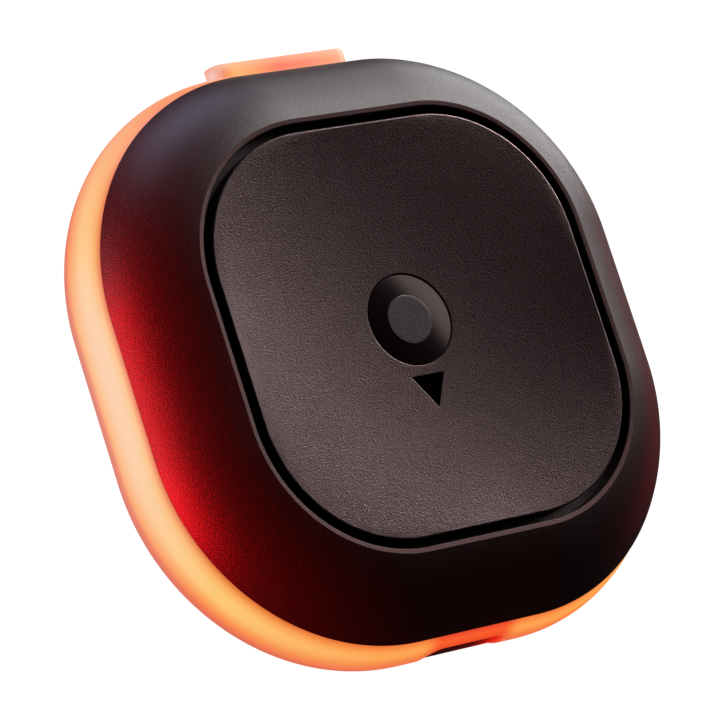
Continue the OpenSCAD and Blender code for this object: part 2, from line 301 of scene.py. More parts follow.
def patch(outer: Points, holes: list[Points], height: Height, spacing: float) -> Surface:
    """A sheet of triangles inside an outline, with holes, at a height that depends on the place.

    Args:
        outer: The outline's points, rows of x and y.
        holes: The outlines of the holes.
        height: A function from x and y arrays to z.
        spacing: The distance between the inner points.

    Returns:
        The sheet. Its edges hold exactly the outlines' points, so that walls can join them.
    """
    loops = [outer, *holes]
    low, high = outer.min(0), outer.max(0)
    grid = np.stack(np.meshgrid(*[np.arange(a, b, spacing) for a, b in zip(low, high)]), -1)
    inner = grid.reshape(-1, 2) + spacing / 3
    edge = np.vstack(loops)
    gap = np.linalg.norm(inner[:, None] - edge[None], axis=2).min(1)
    keep = (gap > spacing * 0.45) & inside(inner, outer)
    for hole in holes:
        keep &= ~inside(inner, hole)
    points = np.vstack([edge, inner[keep]])
    edges, start = [], 0
    for loop in loops:
        index = start + np.arange(len(loop))
        edges += np.stack([index, np.roll(index, -1)], -1).tolist()
        start += len(loop)
    found = delaunay_2d_cdt([Vector(p) for p in points], edges, [], 0, 1e-7)
    flat = np.array([tuple(v) for v in found[0]])
    triangles = np.array(found[2])
    middle = flat[triangles].mean(1)
    keep = inside(middle, outer)
    for hole in holes:
        keep &= ~inside(middle, hole)
    z = height(flat[:, 0], flat[:, 1])
    return Surface(np.column_stack([flat, z]), triangles=triangles[keep])


def inside(points: Points, loop: Points) -> np.ndarray:
    """Which points lie inside a closed outline.

    A point does when a ray from it towards +X crosses an odd number of the outline's edges.

    Args:
        points: The points, as rows of x and y.
        loop: The outline's points.

    Returns:
        True for each point inside.
    """
    x, y = points[:, 0, None], points[:, 1, None]
    x0, y0 = loop[:, 0], loop[:, 1]
    x1, y1 = np.roll(loop, -1, 0).T
    spans = (y0 > y) != (y1 > y)
    with np.errstate(divide="ignore", invalid="ignore"):
        cross = x0 + (y - y0) / (y1 - y0) * (x1 - x0)
    return (spans & (x < cross)).sum(1) % 2 == 1


def make_piece(name: str, surface: Surface, crease: float = 32.0) -> bpy.types.Object:
    """Puts a surface into a mesh object at the origin.

    Args:
        name: The piece's name.
        surface: Its surface, in millimetres.
        crease: The angle in degrees from which an edge stays sharp.

    Returns:
        The object. Its seams are merged and its faces point outwards.
    """
    mesh = bpy.data.meshes.new(name)
    corners = np.concatenate([surface.quads.ravel(), surface.triangles.ravel()])
    sizes = np.repeat([4, 3], [len(surface.quads), len(surface.triangles)])
    mesh.vertices.add(len(surface.points))
    mesh.vertices.foreach_set("co", (surface.points * MM).astype(np.float32).ravel())
    mesh.loops.add(len(corners))
    mesh.loops.foreach_set("vertex_index", corners.astype(np.int32))
    mesh.polygons.add(len(sizes))
    mesh.polygons.foreach_set("loop_start", (np.cumsum(sizes) - sizes).astype(np.int32))
    mesh.update(calc_edges=True)
    tidy = bmesh.new()
    tidy.from_mesh(mesh)
    bmesh.ops.remove_doubles(tidy, verts=tidy.verts, dist=SEAM * MM)
    bmesh.ops.recalc_face_normals(tidy, faces=tidy.faces)
    tidy.to_mesh(mesh)
    tidy.free()
    mesh.validate()
    mesh.shade_smooth()
    mesh.set_sharp_from_angle(angle=math.radians(crease))
    piece = bpy.data.objects.new(name, mesh)
    bpy.context.scene.collection.objects.link(piece)
    return piece


def cut(piece: bpy.types.Object, tool: bpy.types.Object, how: str) -> None:
    """Unites a piece with a tool or takes the tool away from it, and removes the tool.

    Args:
        piece: The piece.
        tool: The other object.
        how: The Boolean modifier's operation.
    """
    step = piece.modifiers.new(how, "BOOLEAN")
    step.operation, step.object, step.solver = how, tool, "EXACT"
    bpy.context.view_layer.update()
    result = bpy.data.meshes.new_from_object(
        piece.evaluated_get(bpy.context.evaluated_depsgraph_get())
    )
    piece.modifiers.clear()
    result.name = piece.name
    piece.data = result
    bpy.data.objects.remove(tool)


# ---------------------------------------------------------------- finishes

Colour = tuple[float, float, float, float]
ABS_IOR = 1.53
POLYCARBONATE_IOR = 1.585
CLOUD = 9.0  # width in millimetres of the patches where a moulding's tone drifts
STAIN = 4.0  # width in millimetres of the tarnish stains on sheet metal
SCRATCH_STEP = 0.04  # scale of the scratches along Y, so small that they run on for a long way
Axes = dict[str, bpy.types.NodeSocket]  # outputs X, Y and Z of a place in millimetres


def linear(hex_colour: str, share: float = 1.0) -> Colour:
    """An sRGB hex colour turned to linear light, where share makes it darker or lighter.

    Args:
        hex_colour: The colour, as a hash mark and six digits.
        share: The factor on the linear red, green and blue, which stop at 1.

    Returns:
        Linear red, green, blue and an alpha of 1.
    """
    value = np.array([int(hex_colour[i : i + 2], 16) for i in (1, 3, 5)]) / 255
    low = value <= 0.04045
    light = np.where(low, value / 12.92, ((value + 0.055) / 1.055) ** 2.4)
    return (*map(float, np.minimum(light * share, 1.0)), 1.0)


def on_ramp(low: float, high: float, stops: Iterable) -> list[tuple[float, Colour]]:
    """Stops of a colour ramp, from places between low and high.

    Args:
        low: The place at the ramp's start.
        high: The place at the ramp's end.
        stops: Pairs of a place and a hex colour, a grey level or a linear colour.

    Returns:
        Pairs of a place from 0 to 1 and a linear colour.
    """
    rows = []
    for place, tone in stops:
        if isinstance(tone, str):
            tone = linear(tone)
        elif isinstance(tone, float):
            tone = (tone, tone, tone, 1.0)
        rows.append(((place - low) / (high - low), tone))
    return rows


def feed(node: bpy.types.Node, inputs: dict) -> None:
    """Fills a node's inputs.

    Args:
        node: The node.
        inputs: Input names or numbers, each with a socket to link or a value to set.
    """
    for key, value in inputs.items():
        if isinstance(value, bpy.types.NodeSocket):
            node.id_data.links.new(value, node.inputs[key])
        else:
            node.inputs[key].default_value = value


def add_node(
    tree: bpy.types.NodeTree,
    kind: str,
    inputs: dict,
    output: int | str = 0,
    stops: Sequence[tuple[float, Colour]] = (),
    **settings: str | float,
) -> bpy.types.NodeSocket:
    """Adds a shader node with its settings and links.

    Args:
        tree: The node tree.
        kind: The node's type, without the words that all of them start with.
        inputs: Input names or numbers, each with a socket to link or a value to set.
        output: The name or number of the output that is wanted.
        stops: The stops of a colour ramp.
        settings: The node's other properties.

    Returns:
        The wanted output.
    """
    node = tree.nodes.new("ShaderNode" + kind)
    for name, value in settings.items():
        setattr(node, name, value)
    for _ in stops[2:]:
        node.color_ramp.elements.new(1.0)
    for index, (place, colour) in enumerate(stops):
        element = node.color_ramp.elements[index]
        element.position, element.color = place, colour
    feed(node, inputs)
    return node.outputs[output]


def millimetres(tree: bpy.types.NodeTree) -> bpy.types.NodeSocket:
    """The place in object coordinates, in millimetres."""
    where = add_node(tree, "TexCoord", {}, "Object")
    return add_node(tree, "VectorMath", {0: where, "Scale": 1 / MM}, operation="SCALE")


def new_material(name: str) -> tuple[bpy.types.Material, bpy.types.ShaderNode]:
    """An empty node material and its Principled shader.

    Args:
        name: The finish's name.

    Returns:
        The material and the shader.
    """
    material = bpy.data.materials.new(name)
    material.use_nodes = True
    return material, material.node_tree.nodes["Principled BSDF"]


@dataclass(frozen=True)
class MouldedPlastic:
    """Injection-moulded plastic with an eroded or polished tool surface.

    The tool's grain scatters the light, and its grains catch a little more or less of it, so the
    eye sees fine specks on a satin ground. Wide, weak cloudiness stands for flow and handling.
    """

    name: str
    colour: str
    roughness: float
    grain: float  # width of a grain in millimetres
    depth: float  # how deep the grain is, in millimetres
    speck: float = 0.0  # how much the tone varies from grain to grain
    specular: float = 0.5
    tint: str = "#ffffff"  # of the gloss
    spread: float = 0.06  # how much the roughness varies from grain to grain

    def build(self) -> bpy.types.Material:
        """The node material: grain in tone, roughness and bump, under the cloudiness.

        Returns:
            The material.
        """
        material, shader = new_material(self.name)
        tree = material.node_tree
        place = millimetres(tree)
        grains = add_node(tree, "TexNoise", {"Vector": place, "Scale": 1 / self.grain, "Detail": 0.0})
        clouds = add_node(tree, "TexNoise", {"Vector": place, "Scale": 1 / CLOUD, "Detail": 3.0})
        dark, light = linear(self.colour, 1 - self.speck), linear(self.colour, 1 + self.speck)
        tone = add_node(
            tree, "ValToRGB", {"Fac": grains}, stops=on_ramp(0, 1, ((0.32, dark), (0.68, light)))
        )
        drift = add_node(
            tree, "ValToRGB", {"Fac": clouds}, stops=on_ramp(0, 1, ((0.3, 0.93), (0.7, 1.0)))
        )
        low, high = self.roughness - self.spread, self.roughness + self.spread
        feed(shader, {
            "Base Color": add_node(
                tree, "Mix", {"Factor": 1.0, 6: tone, 7: drift}, 2,
                data_type="RGBA", blend_type="MULTIPLY",
            ),
            "Roughness": add_node(tree, "MapRange", {"Value": grains, "To Min": low, "To Max": high}),
            "Normal": add_node(
                tree, "Bump", {"Strength": 1.0, "Distance": self.depth * MM, "Height": grains}
            ),
            "IOR": ABS_IOR,
            "Specular IOR Level": self.specular,
            "Specular Tint": linear(self.tint),
        })
        return material


@dataclass(frozen=True)
class SheetMetal:
    """Rolled, drawn or plated metal.

    Rolling leaves fine straight scratches, which stretch a reflection across them, and handling
    leaves a wide, faint tarnish.
    """

    name: str
    colour: str
    roughness: float
    scratch: float = 0.05  # width of a scratch in millimetres

    def build(self) -> bpy.types.Material:
        """The node material: scratches in roughness and bump, tarnish in tone.

        Returns:
            The material.
        """
        material, shader = new_material(self.name)
        tree = material.node_tree
        place = millimetres(tree)
        drawn = add_node(tree, "Mapping", {"Vector": place, "Scale": (1.0, SCRATCH_STEP, 1.0)})
        lines = add_node(
            tree, "TexNoise", {"Vector": drawn, "Scale": 1 / self.scratch, "Detail": 2.0}
        )
        stains = add_node(tree, "TexNoise", {"Vector": place, "Scale": 1 / STAIN, "Detail": 3.0})
        tones = on_ramp(0, 1, ((0.3, linear(self.colour, 0.82)), (0.7, self.colour)))
        low, high = self.roughness - 0.08, self.roughness + 0.1
        feed(shader, {
            "Base Color": add_node(tree, "ValToRGB", {"Fac": stains}, stops=tones),
            "Roughness": add_node(tree, "MapRange", {"Value": lines, "To Min": low, "To Max": high}),
            "Normal": add_node(tree, "Bump", {"Strength": 0.5, "Distance": 0.002 * MM, "Height": lines}),
            "Metallic": 1.0,
        })
        return material


@dataclass(frozen=True)
class Elastomer:
    """Moulded silicone or foam rubber: dull and soft to the eye, with a surface of pores."""

    name: str
    colour: str
    pore: float  # width of a pore in millimetres
    depth: float  # depth of a pore in millimetres
    roughness: float = 0.6

    def build(self) -> bpy.types.Material:
        """The node material: pores in bump, painted shade that darkens each pore's bottom, and a little
        sheen.

        Returns:
            The material.
        """
        material, shader = new_material(self.name)
        tree = material.node_tree
        cells = add_node(
            tree, "TexVoronoi", {"Vector": millimetres(tree), "Scale": 1 / self.pore}
        )
        # Painted shade: each pore is drawn darker towards its bottom, down to 0.45 of the colour
        tones = on_ramp(0, 1, ((0.0, linear(self.colour, 0.45)), (0.5, self.colour)))
        feed(shader, {
            "Base Color": add_node(tree, "ValToRGB", {"Fac": cells}, stops=tones),
            "Normal": add_node(
                tree, "Bump", {"Strength": 0.7, "Distance": self.depth * MM, "Height": cells}
            ),
            "Roughness": self.roughness,
            "Sheen Weight": 0.15,
        })
        return material


@dataclass(frozen=True)
class SolderMask:
    """Green-black lacquer over etched copper, so that the tracks stand out under the gloss."""

    name: str = "solder mask on copper"
    lacquer: str = "#10281c"
    second_lacquer: str = "#0d2117"  # where the copper below is missing
    track: str = "#1f4a30"
    pitch: float = 1.1  # distance between tracks in millimetres
    track_width: float = 0.11  # as a share of the pitch

    def build(self) -> bpy.types.Material:
        """The node material: tracks in rows, in tone and bump.

        Returns:
            The material.
        """
        material, shader = new_material(self.name)
        tree = material.node_tree
        bricks = {
            "Vector": millimetres(tree),
            "Scale": 1 / self.pitch,
            "Mortar Size": self.track_width,
            "Mortar Smooth": 0.2,
            "Brick Width": 2.3,
            "Row Height": 0.6,
            "Color1": linear(self.lacquer),
            "Color2": linear(self.second_lacquer),
            "Mortar": linear(self.track),
        }
        tracks = add_node(tree, "TexBrick", bricks, "Color", offset=0.5)
        raised = tracks.node.outputs["Fac"]
        feed(shader, {
            "Base Color": tracks,
            "Normal": add_node(tree, "Bump", {"Strength": 0.6, "Distance": 0.03 * MM, "Height": raised}),
            "Roughness": 0.28,
        })
        return material


@dataclass(frozen=True)
class LampPhosphor:
    """The cast phosphor face of a white lamp: grainy, warm yellow, and it shines."""

    name: str = "lamp phosphor"
    colour: str = "#fff0c8"
    shade: str = "#f2d98a"
    strength: float = 1.5
    grain: float = 0.12  # millimetres; real grains are 0.02, too fine to show

    def build(self) -> bpy.types.Material:
        """The node material: one grainy glow for the colour and for the light.

        Returns:
            The material.
        """
        material, shader = new_material(self.name)
        tree = material.node_tree
        grains = add_node(
            tree, "TexNoise", {"Vector": millimetres(tree), "Scale": 1 / self.grain, "Detail": 2.0}
        )
        tones = on_ramp(0, 1, ((0.3, self.shade), (0.7, self.colour)))
        glow = add_node(tree, "ValToRGB", {"Fac": grains}, stops=tones)
        feed(shader, {
            "Base Color": glow,
            "Emission Color": glow,
            "Emission Strength": self.strength,
            "Roughness": 0.4,
        })
        return material


@dataclass(frozen=True)
class PolishedButton:
    """Injection-moulded button: a polished cone round a grained flat top.

    The tool is polished on the cone, which mirrors the lamps, and eroded on the flat top, which
    looks matt.
    """

    name: str = "polished and grained button plastic"
    cone: str = "#120405"
    top: str = "#322524"
    axis_y: float = 0.64
    top_radius: float = 1.78
    change: float = 0.03  # half width of the change from top to cone
    grain: float = 0.085
    depth: float = 0.024
    cone_roughness: float = 0.17
    top_roughness: float = 0.55

    def build(self) -> bpy.types.Material:
        """The node material: the distance from the axis tells the top from the cone.

        Returns:
            The material.
        """
        material, shader = new_material(self.name)
        tree = material.node_tree
        place = millimetres(tree)
        about = add_node(
            tree, "VectorMath", {0: place, 1: (0.0, self.axis_y, 0.0)}, operation="SUBTRACT"
        )
        flat = add_node(tree, "VectorMath", {0: about, 1: (1.0, 1.0, 0.0)}, operation="MULTIPLY")
        radius = add_node(tree, "VectorMath", {0: flat}, "Value", operation="LENGTH")
        on_top = add_node(tree, "MapRange", {
            "Value": radius,
            "From Min": self.top_radius + self.change,
            "From Max": self.top_radius - self.change,
        })
        grains = add_node(tree, "TexNoise", {"Vector": place, "Scale": 1 / self.grain, "Detail": 0.0})
        tones = on_ramp(0, 1, ((0.3, linear(self.top, 0.75)), (0.7, linear(self.top, 1.25))))
        tone = add_node(tree, "ValToRGB", {"Fac": grains}, stops=tones)
        height = add_node(tree, "Math", {0: grains, 1: on_top}, operation="MULTIPLY")
        feed(shader, {
            "Base Color": add_node(
                tree, "Mix", {"Factor": on_top, 6: linear(self.cone), 7: tone}, 2, data_type="RGBA"
            ),
            "Roughness": add_node(tree, "MapRange", {
                "Value": on_top, "To Min": self.cone_roughness, "To Max": self.top_roughness,
            }),
            "Normal": add_node(
                tree, "Bump", {"Strength": 1.0, "Distance": self.depth * MM, "Height": height}
            ),
            "IOR": ABS_IOR,
            "Specular IOR Level": 0.28,
        })
        return material


@dataclass(frozen=True)
class LitPolycarbonate:
    """Translucent moulded polycarbonate, lit from inside by eight lamps.

    The light fades over the ring's section: it is brightest a little above the widest part and
    drops towards the joint with the bezel and towards the underside. That drop is partly painted
    shade, under the bezel's edge and on the underside. Its tint shifts along the outline, from pale
    to amber, deep orange and salmon. Over the recess the tint is painted shade, near black at the
    recess's -X end. A thin gloss lies over it.
    """

    name: str = "lit translucent polycarbonate"
    middle: float = 17.87  # half width of the section's middle, in millimetres
    height: float = 4.52
    radius: float = 4.13
    lug_reach: float = 6.0  # the lug's tints run over X from minus this to plus this
    lug_face: tuple = (22.2, 22.75)  # Y where the tint of the lug's outer face starts and is full
    recess_half: float = 3.55
    strip: tuple = (4.3, 2.6)  # distance from X = 0 where the strip's tint starts and is full
    strip_low: float = 5.0  # the strip above the recess lies over this height
    roughness: float = 0.34
    # Section angle above the widest part, in degrees, with the glow there; the darker stops towards -90,
    # the underside, and 48, under the bezel's edge, are partly painted shade
    pale: tuple = (
        (-90, "#6e1a10"), (-36, "#c06458"), (-22, "#dc8478"), (-12, "#e68a78"), (-8, "#f09578"),
        (-4, "#fdac80"), (0, "#fcbc8a"), (5, "#fec597"), (10, "#fccba5"), (18, "#fdd1b0"),
        (28, "#fcd1ac"), (35, "#fdc894"), (39, "#f8a078"), (42, "#e07058"), (48, "#a82430"),
    )
    amber: tuple = (
        (-90, "#6e1408"), (-36, "#c05038"), (-22, "#dc7458"), (-12, "#ea7458"), (-6, "#f47e52"),
        (0, "#fb9052"), (5, "#fd9f58"), (10, "#fbb264"), (15, "#fec474"), (21, "#fdca7a"),
        (27, "#fdc674"), (33, "#fbb462"), (37, "#f49a4c"), (41, "#dc7038"), (48, "#a81c14"),
    )
    deep: tuple = (
        (-90, "#5a0c02"), (-36, "#b84028"), (-22, "#d06048"), (-10, "#dc6c50"), (-4, "#e87050"),
        (2, "#f0744c"), (8, "#f27c46"), (14, "#f58644"), (19, "#fd9648"), (25, "#fda651"),
        (30, "#fc9e4c"), (34, "#fb8e44"), (38, "#f47a3a"), (42, "#e05c28"), (48, "#b02c10"),
    )
    salmon: tuple = (
        (-90, "#6e1a10"), (-30, "#c87868"), (-10, "#e89880"), (0, "#f0a084"), (8, "#f4a486"),
        (16, "#f8a47e"), (24, "#fba072"), (31, "#fb9668"), (37, "#f48868"), (41, "#d85a4c"),
        (48, "#a02028"),
    )
    above_recess: tuple = (
        (-90, "#5a0c02"), (12, "#e84828"), (22, "#f05028"), (30, "#fd602c"), (36, "#f25030"),
        (42, "#b83020"), (48, "#900c08"),
    )
    # Bearing round the outline from +X, in degrees, with the share of a tint there
    amber_share: tuple = (
        (-180, 0.0), (-166, 0.15), (-152, 0.6), (-142, 1.0), (-110, 1.0), (60, 0.6), (100, 0.3),
        (135, 0.7), (150, 0.7), (160, 0.3), (168, 0.0), (180, 0.0),
    )
    deep_share: tuple = (
        (-180, 0.0), (-140, 0.0), (-128, 0.4), (-110, 0.85), (-100, 1.0), (-60, 1.0), (-30, 0.6),
        (0, 0.25), (60, 0.1), (120, 0.0), (180, 0.0),
    )
    salmon_share: tuple = (
        (-180, 0.0), (45, 0.0), (70, 1.0), (120, 1.0), (136, 0.5), (150, 0.1), (162, 0.0),
        (180, 0.0),
    )
    # Place along X in millimetres, with the glow there
    lug_core: tuple = (
        (-6, "#eea498"), (-5.75, "#f6c8bc"), (-5.5, "#f4b09c"), (-5.1, "#f49672"),
        (-4.7, "#fb9a5c"), (-4.0, "#fdb46a"), (-2.5, "#fca066"), (-0.5, "#fa7e60"),
        (1.5, "#fa8464"), (4.0, "#fb9c74"), (6, "#fab08e"),
    )
    lug_rim: tuple = (
        (-6, "#eea89c"), (-5.2, "#f4b8a0"), (-4.0, "#fcb888"), (0, "#fca482"), (6, "#fcbc98"),
    )
    # Share of the recess's width from its -X end, with the colour there: painted shade, near black at
    # the -X end, turning to red glow towards the +X end
    recess: tuple = (
        (0.0, "#2a0303"), (0.3, "#2c0303"), (0.58, "#4c0504"), (0.72, "#8c0a04"),
        (0.84, "#d81608"), (1.0, "#ee3c1c"),
    )

    def section(
        self, tree: bpy.types.NodeTree, place: bpy.types.NodeSocket, axes: Axes
    ) -> tuple[bpy.types.NodeSocket, bpy.types.NodeSocket]:
        """Where a point lies in the ring's round section.

        The half width is the core square's plus the distance from the core square. Its excess
        over the section's middle and the height over the middle give an angle and a distance.

        Args:
            tree: The node tree.
            place: The place in millimetres.
            axes: The same place's X, Y and Z.

        Returns:
            The angle from -90 to 90 degrees as a share from 0 to 1, and the distance from the
            section's middle in millimetres.
        """
        over_all = 1000.0  # larger than any height, so that Z drops out
        away = add_node(tree, "VectorMath", {0: place}, operation="ABSOLUTE")
        away = add_node(
            tree, "VectorMath", {0: away, 1: (CORE, CORE, over_all)}, operation="SUBTRACT"
        )
        away = add_node(tree, "VectorMath", {0: away, 1: (0.0, 0.0, 0.0)}, operation="MAXIMUM")
        reach = add_node(tree, "VectorMath", {0: away}, "Value", operation="LENGTH")
        out = add_node(tree, "Math", {0: reach, 1: self.middle - CORE}, operation="SUBTRACT")
        up = add_node(tree, "Math", {0: axes["Z"], 1: self.height}, operation="SUBTRACT")
        angle = add_node(tree, "Math", {0: up, 1: out}, operation="ARCTAN2")
        angle = add_node(
            tree, "MapRange", {"Value": angle, "From Min": -math.pi / 2, "From Max": math.pi / 2}
        )
        arm = add_node(tree, "CombineXYZ", {"X": out, "Y": up})
        return angle, add_node(tree, "VectorMath", {0: arm}, "Value", operation="LENGTH")

    def outline_glow_and_shade(
        self, tree: bpy.types.NodeTree, angle: bpy.types.NodeSocket, axes: Axes
    ) -> bpy.types.NodeSocket:
        """The plain ring's glow, with its partly painted shade: each tint over the section, shared out
        round the outline.

        Args:
            tree: The node tree.
            angle: The section angle as a share from 0 to 1.
            axes: The place's X, Y and Z in millimetres.

        Returns:
            The colour.
        """
        bearing = add_node(tree, "Math", {0: axes["Y"], 1: axes["X"]}, operation="ARCTAN2")
        bearing = add_node(
            tree, "MapRange", {"Value": bearing, "From Min": -math.pi, "From Max": math.pi}
        )
        colour = add_node(tree, "ValToRGB", {"Fac": angle}, stops=on_ramp(-90, 90, self.pale))
        tints = (
            (self.amber_share, self.amber),
            (self.deep_share, self.deep),
            (self.salmon_share, self.salmon),
        )
        for shares, tones in tints:
            mask = add_node(tree, "ValToRGB", {"Fac": bearing}, stops=on_ramp(-180, 180, shares))
            tint = add_node(tree, "ValToRGB", {"Fac": angle}, stops=on_ramp(-90, 90, tones))
            colour = add_node(
                tree, "Mix", {"Factor": mask, 6: colour, 7: tint}, 2, data_type="RGBA"
            )
        return colour

    def over_recess(self, tree: bpy.types.NodeTree, axes: Axes) -> bpy.types.NodeSocket:
        """The share of the strip above the recess, where the glow turns redder.

        Args:
            tree: The node tree.
            axes: The place's X, Y and Z in millimetres.

        Returns:
            1 on the strip's middle and 0 away from it.
        """
        aside = add_node(tree, "Math", {0: axes["X"]}, operation="ABSOLUTE")
        across = add_node(
            tree, "MapRange", {"Value": aside, "From Min": self.strip[0], "From Max": self.strip[1]},
            interpolation_type="SMOOTHSTEP",
        )
        front = add_node(tree, "Math", {0: axes["Y"], 1: 0.0}, operation="LESS_THAN")
        upper = add_node(tree, "Math", {0: axes["Z"], 1: self.strip_low}, operation="GREATER_THAN")
        there = add_node(tree, "Math", {0: front, 1: upper}, operation="MULTIPLY")
        return add_node(tree, "Math", {0: across, 1: there}, operation="MULTIPLY")

    def lug_glow(self, tree: bpy.types.NodeTree, axes: Axes) -> bpy.types.NodeSocket:
        """The lug's glow along X, paler at its outer face.

        Args:
            tree: The node tree.
            axes: The place's X, Y and Z in millimetres.

        Returns:
            The colour.
        """
        reach = self.lug_reach
        along = add_node(
            tree, "MapRange", {"Value": axes["X"], "From Min": -reach, "From Max": reach}
        )
        core, rim = (
            add_node(tree, "ValToRGB", {"Fac": along}, stops=on_ramp(-reach, reach, tones))
            for tones in (self.lug_core, self.lug_rim)
        )
        start, full = self.lug_face
        outward = add_node(
            tree, "MapRange", {"Value": axes["Y"], "From Min": start, "From Max": full}
        )
        return add_node(tree, "Mix", {"Factor": outward, 6: core, 7: rim}, 2, data_type="RGBA")

    def recess_shade_and_glow(self, tree: bpy.types.NodeTree, axes: Axes) -> bpy.types.NodeSocket:
        """The recess's colour along X: painted shade near black at the -X end, turning to red glow at
        the +X end.

        Args:
            tree: The node tree.
            axes: The place's X, Y and Z in millimetres.

        Returns:
            The colour.
        """
        half = self.recess_half
        along = add_node(tree, "MapRange", {"Value": axes["X"], "From Min": -half, "From Max": half})
        return add_node(tree, "ValToRGB", {"Fac": along}, stops=on_ramp(0, 1, self.recess))

    def build(self) -> bpy.types.Material:
        """The node material: the glows of ring, strip and lug, and the recess's painted shade and glow,
        each laid over the last.

        The lug stands further from the section's middle than the ring's surface, and the recess
        lies nearer, so that distance tells them apart.

        Returns:
            The material.
        """
        material, shader = new_material(self.name)
        tree = material.node_tree
        place = millimetres(tree)
        axes = dict(add_node(tree, "SeparateXYZ", {0: place}).node.outputs.items())
        angle, distance = self.section(tree, place, axes)
        limits = ((0.01, 0.06), (-0.03, -0.12))  # proud of the ring's surface, and sunk in it
        on_lug, in_recess = (
            add_node(tree, "MapRange", {
                "Value": distance, "From Min": self.radius + start, "From Max": self.radius + end,
            })
            for start, end in limits
        )
        strip = add_node(tree, "ValToRGB", {"Fac": angle}, stops=on_ramp(-90, 90, self.above_recess))
        colour = self.outline_glow_and_shade(tree, angle, axes)
        layers = (
            (self.over_recess(tree, axes), strip),
            (on_lug, self.lug_glow(tree, axes)),
            # The recess: painted shade near black at its -X end, red glow at its +X end
            (in_recess, self.recess_shade_and_glow(tree, axes)),
        )
        for mask, glow in layers:
            colour = add_node(
                tree, "Mix", {"Factor": mask, 6: colour, 7: glow}, 2, data_type="RGBA"
            )
        feed(shader, {
            "Emission Color": colour,
            "Emission Strength": 1.0,
            "Base Color": linear("#1a0a06"),
            "Roughness": self.roughness,
            "IOR": POLYCARBONATE_IOR,
            "Specular IOR Level": 0.25,
        })
        return material


Finish = MouldedPlastic | SheetMetal | Elastomer | SolderMask | LampPhosphor

# The grain of an eroded or satin tool is 0.02 to 0.05 mm wide. On the outer pieces it is drawn
# 0.085 mm wide, because a finer one is too fine to show.

# Eroded floor of the sunk mark: so matt and dark that it takes no highlight
POINTER = MouldedPlastic("matt black pointer floor", "#0a0000", 0.8, 0.1, 0.002, 0.1, 0.0)
# Eroded like the plate, and drawn lighter and greyer than the bezel as a painted highlight: a thin grey
# band that lifts the bezel's edge out of the dark groove
LIP_HIGHLIGHT = MouldedPlastic("eroded ABS lip", "#241a1b", 0.5, 0.085, 0.016, 0.5, 0.6, "#ffc4c4", 0.05)
# Satin tool: broad soft highlights on the slope, with a faint sparkle
BEZEL = MouldedPlastic("satin moulded ABS", "#220a0c", 0.42, 0.085, 0.017, 0.5, spread=0.05)
# Spark-eroded tool: an even, lively grain that hides touch marks
PLATE = MouldedPlastic("spark-eroded ABS", "#1e1415", 0.42, 0.085, 0.03, 0.6, 0.16, "#ffcccc", 0.06)
# Blasted tool: flat dark grey with no highlight of its own
COVER = MouldedPlastic("matt moulded ABS", "#26211f", 0.5, 0.12, 0.006, 0.12)
# Filled with white pigment and moulded in a smooth tool, to send the lamps' light outwards
FRAME = MouldedPlastic("white reflector polycarbonate", "#e9e6df", 0.42, 0.12, 0.003, 0.03)
# Moulded without pigment: milky and a little waxy
NYLON = MouldedPlastic("natural nylon seal", "#d8d4c4", 0.38, 0.1, 0.004, 0.04)
# Pressed round the chip: charcoal with a fine sandy surface
EPOXY = MouldedPlastic("epoxy chip package", "#1b1b1d", 0.62, 0.07, 0.004, 0.2)
# Pressed and fired: pale, dense and slightly glossy
CERAMIC = MouldedPlastic("fired ceramic", "#d9cfba", 0.34, 0.08, 0.002, 0.08)
# Coated on both sides with glue: dark with a wet, uneven gloss
FILM = MouldedPlastic("double-sided adhesive film", "#15110f", 0.3, 0.3, 0.006, 0.15)
# Pressed powder: dull and crumbly
PELLET = MouldedPlastic("pressed cell powder", "#2b2b2d", 0.8, 0.09, 0.012, 0.35)
# Moulded soft seals: dull black with fine pores
SILICONE = Elastomer("moulded silicone rubber", "#1c1c1e", 0.12, 0.004)
# Blown foam: grey with open cells, whose dark pits are painted shade
FOAM = Elastomer("open-cell foam", "#4c4c4e", 0.35, 0.12, 0.85)
# Drawn from plated strip: bright, with soft stretched reflections
STEEL = SheetMetal("nickel-plated cell steel", "#c9c9c6", 0.26)
# Folded from tinned sheet: whiter and duller than the cell
CAN = SheetMetal("tinned steel sheet", "#bfc1c3", 0.34)
# Stamped from rolled spring strip: the brightest metal here
SPRING = SheetMetal("stainless spring steel", "#cfd0d0", 0.24)
# Rolled threads, plated with zinc: blue-grey and a little cloudy
ZINC = SheetMetal("zinc-plated screw steel", "#9fa2a4", 0.32)
# Rolled and punched: warm yellow with rolling lines
BRASS = SheetMetal("rolled brass disc", "#c9a24a", 0.28)


# ---------------------------------------------------------------- sub-assemblies


def settle(
    piece: bpy.types.Object, finish: bpy.types.Material, body: Body, node: str
) -> None:
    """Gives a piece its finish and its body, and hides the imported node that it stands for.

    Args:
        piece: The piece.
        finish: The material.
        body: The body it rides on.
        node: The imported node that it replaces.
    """
    piece.data.materials.clear()
    piece.data.materials.append(finish)
    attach(piece, body.value)
    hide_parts(node)
    LOG.info("%s: %s, %d faces", piece.name, finish.name, len(piece.data.polygons))


def face_middles(piece: bpy.types.Object) -> np.ndarray:
    """The x, y and z of every face's middle.

    Args:
        piece: The piece.

    Returns:
        Three rows, in millimetres.
    """
    middles = np.empty(3 * len(piece.data.polygons), np.float32)
    piece.data.polygons.foreach_get("center", middles)
    return middles.reshape(-1, 3).T / MM


def finish_faces(
    piece: bpy.types.Object, finish: bpy.types.Material, chosen: np.ndarray
) -> None:
    """Gives some of a piece's faces a second finish.

    Args:
        piece: The piece, which has one finish.
        finish: The second material.
        chosen: True for each face that takes it.
    """
    piece.data.materials.append(finish)
    piece.data.polygons.foreach_set("material_index", chosen.astype(np.int32))


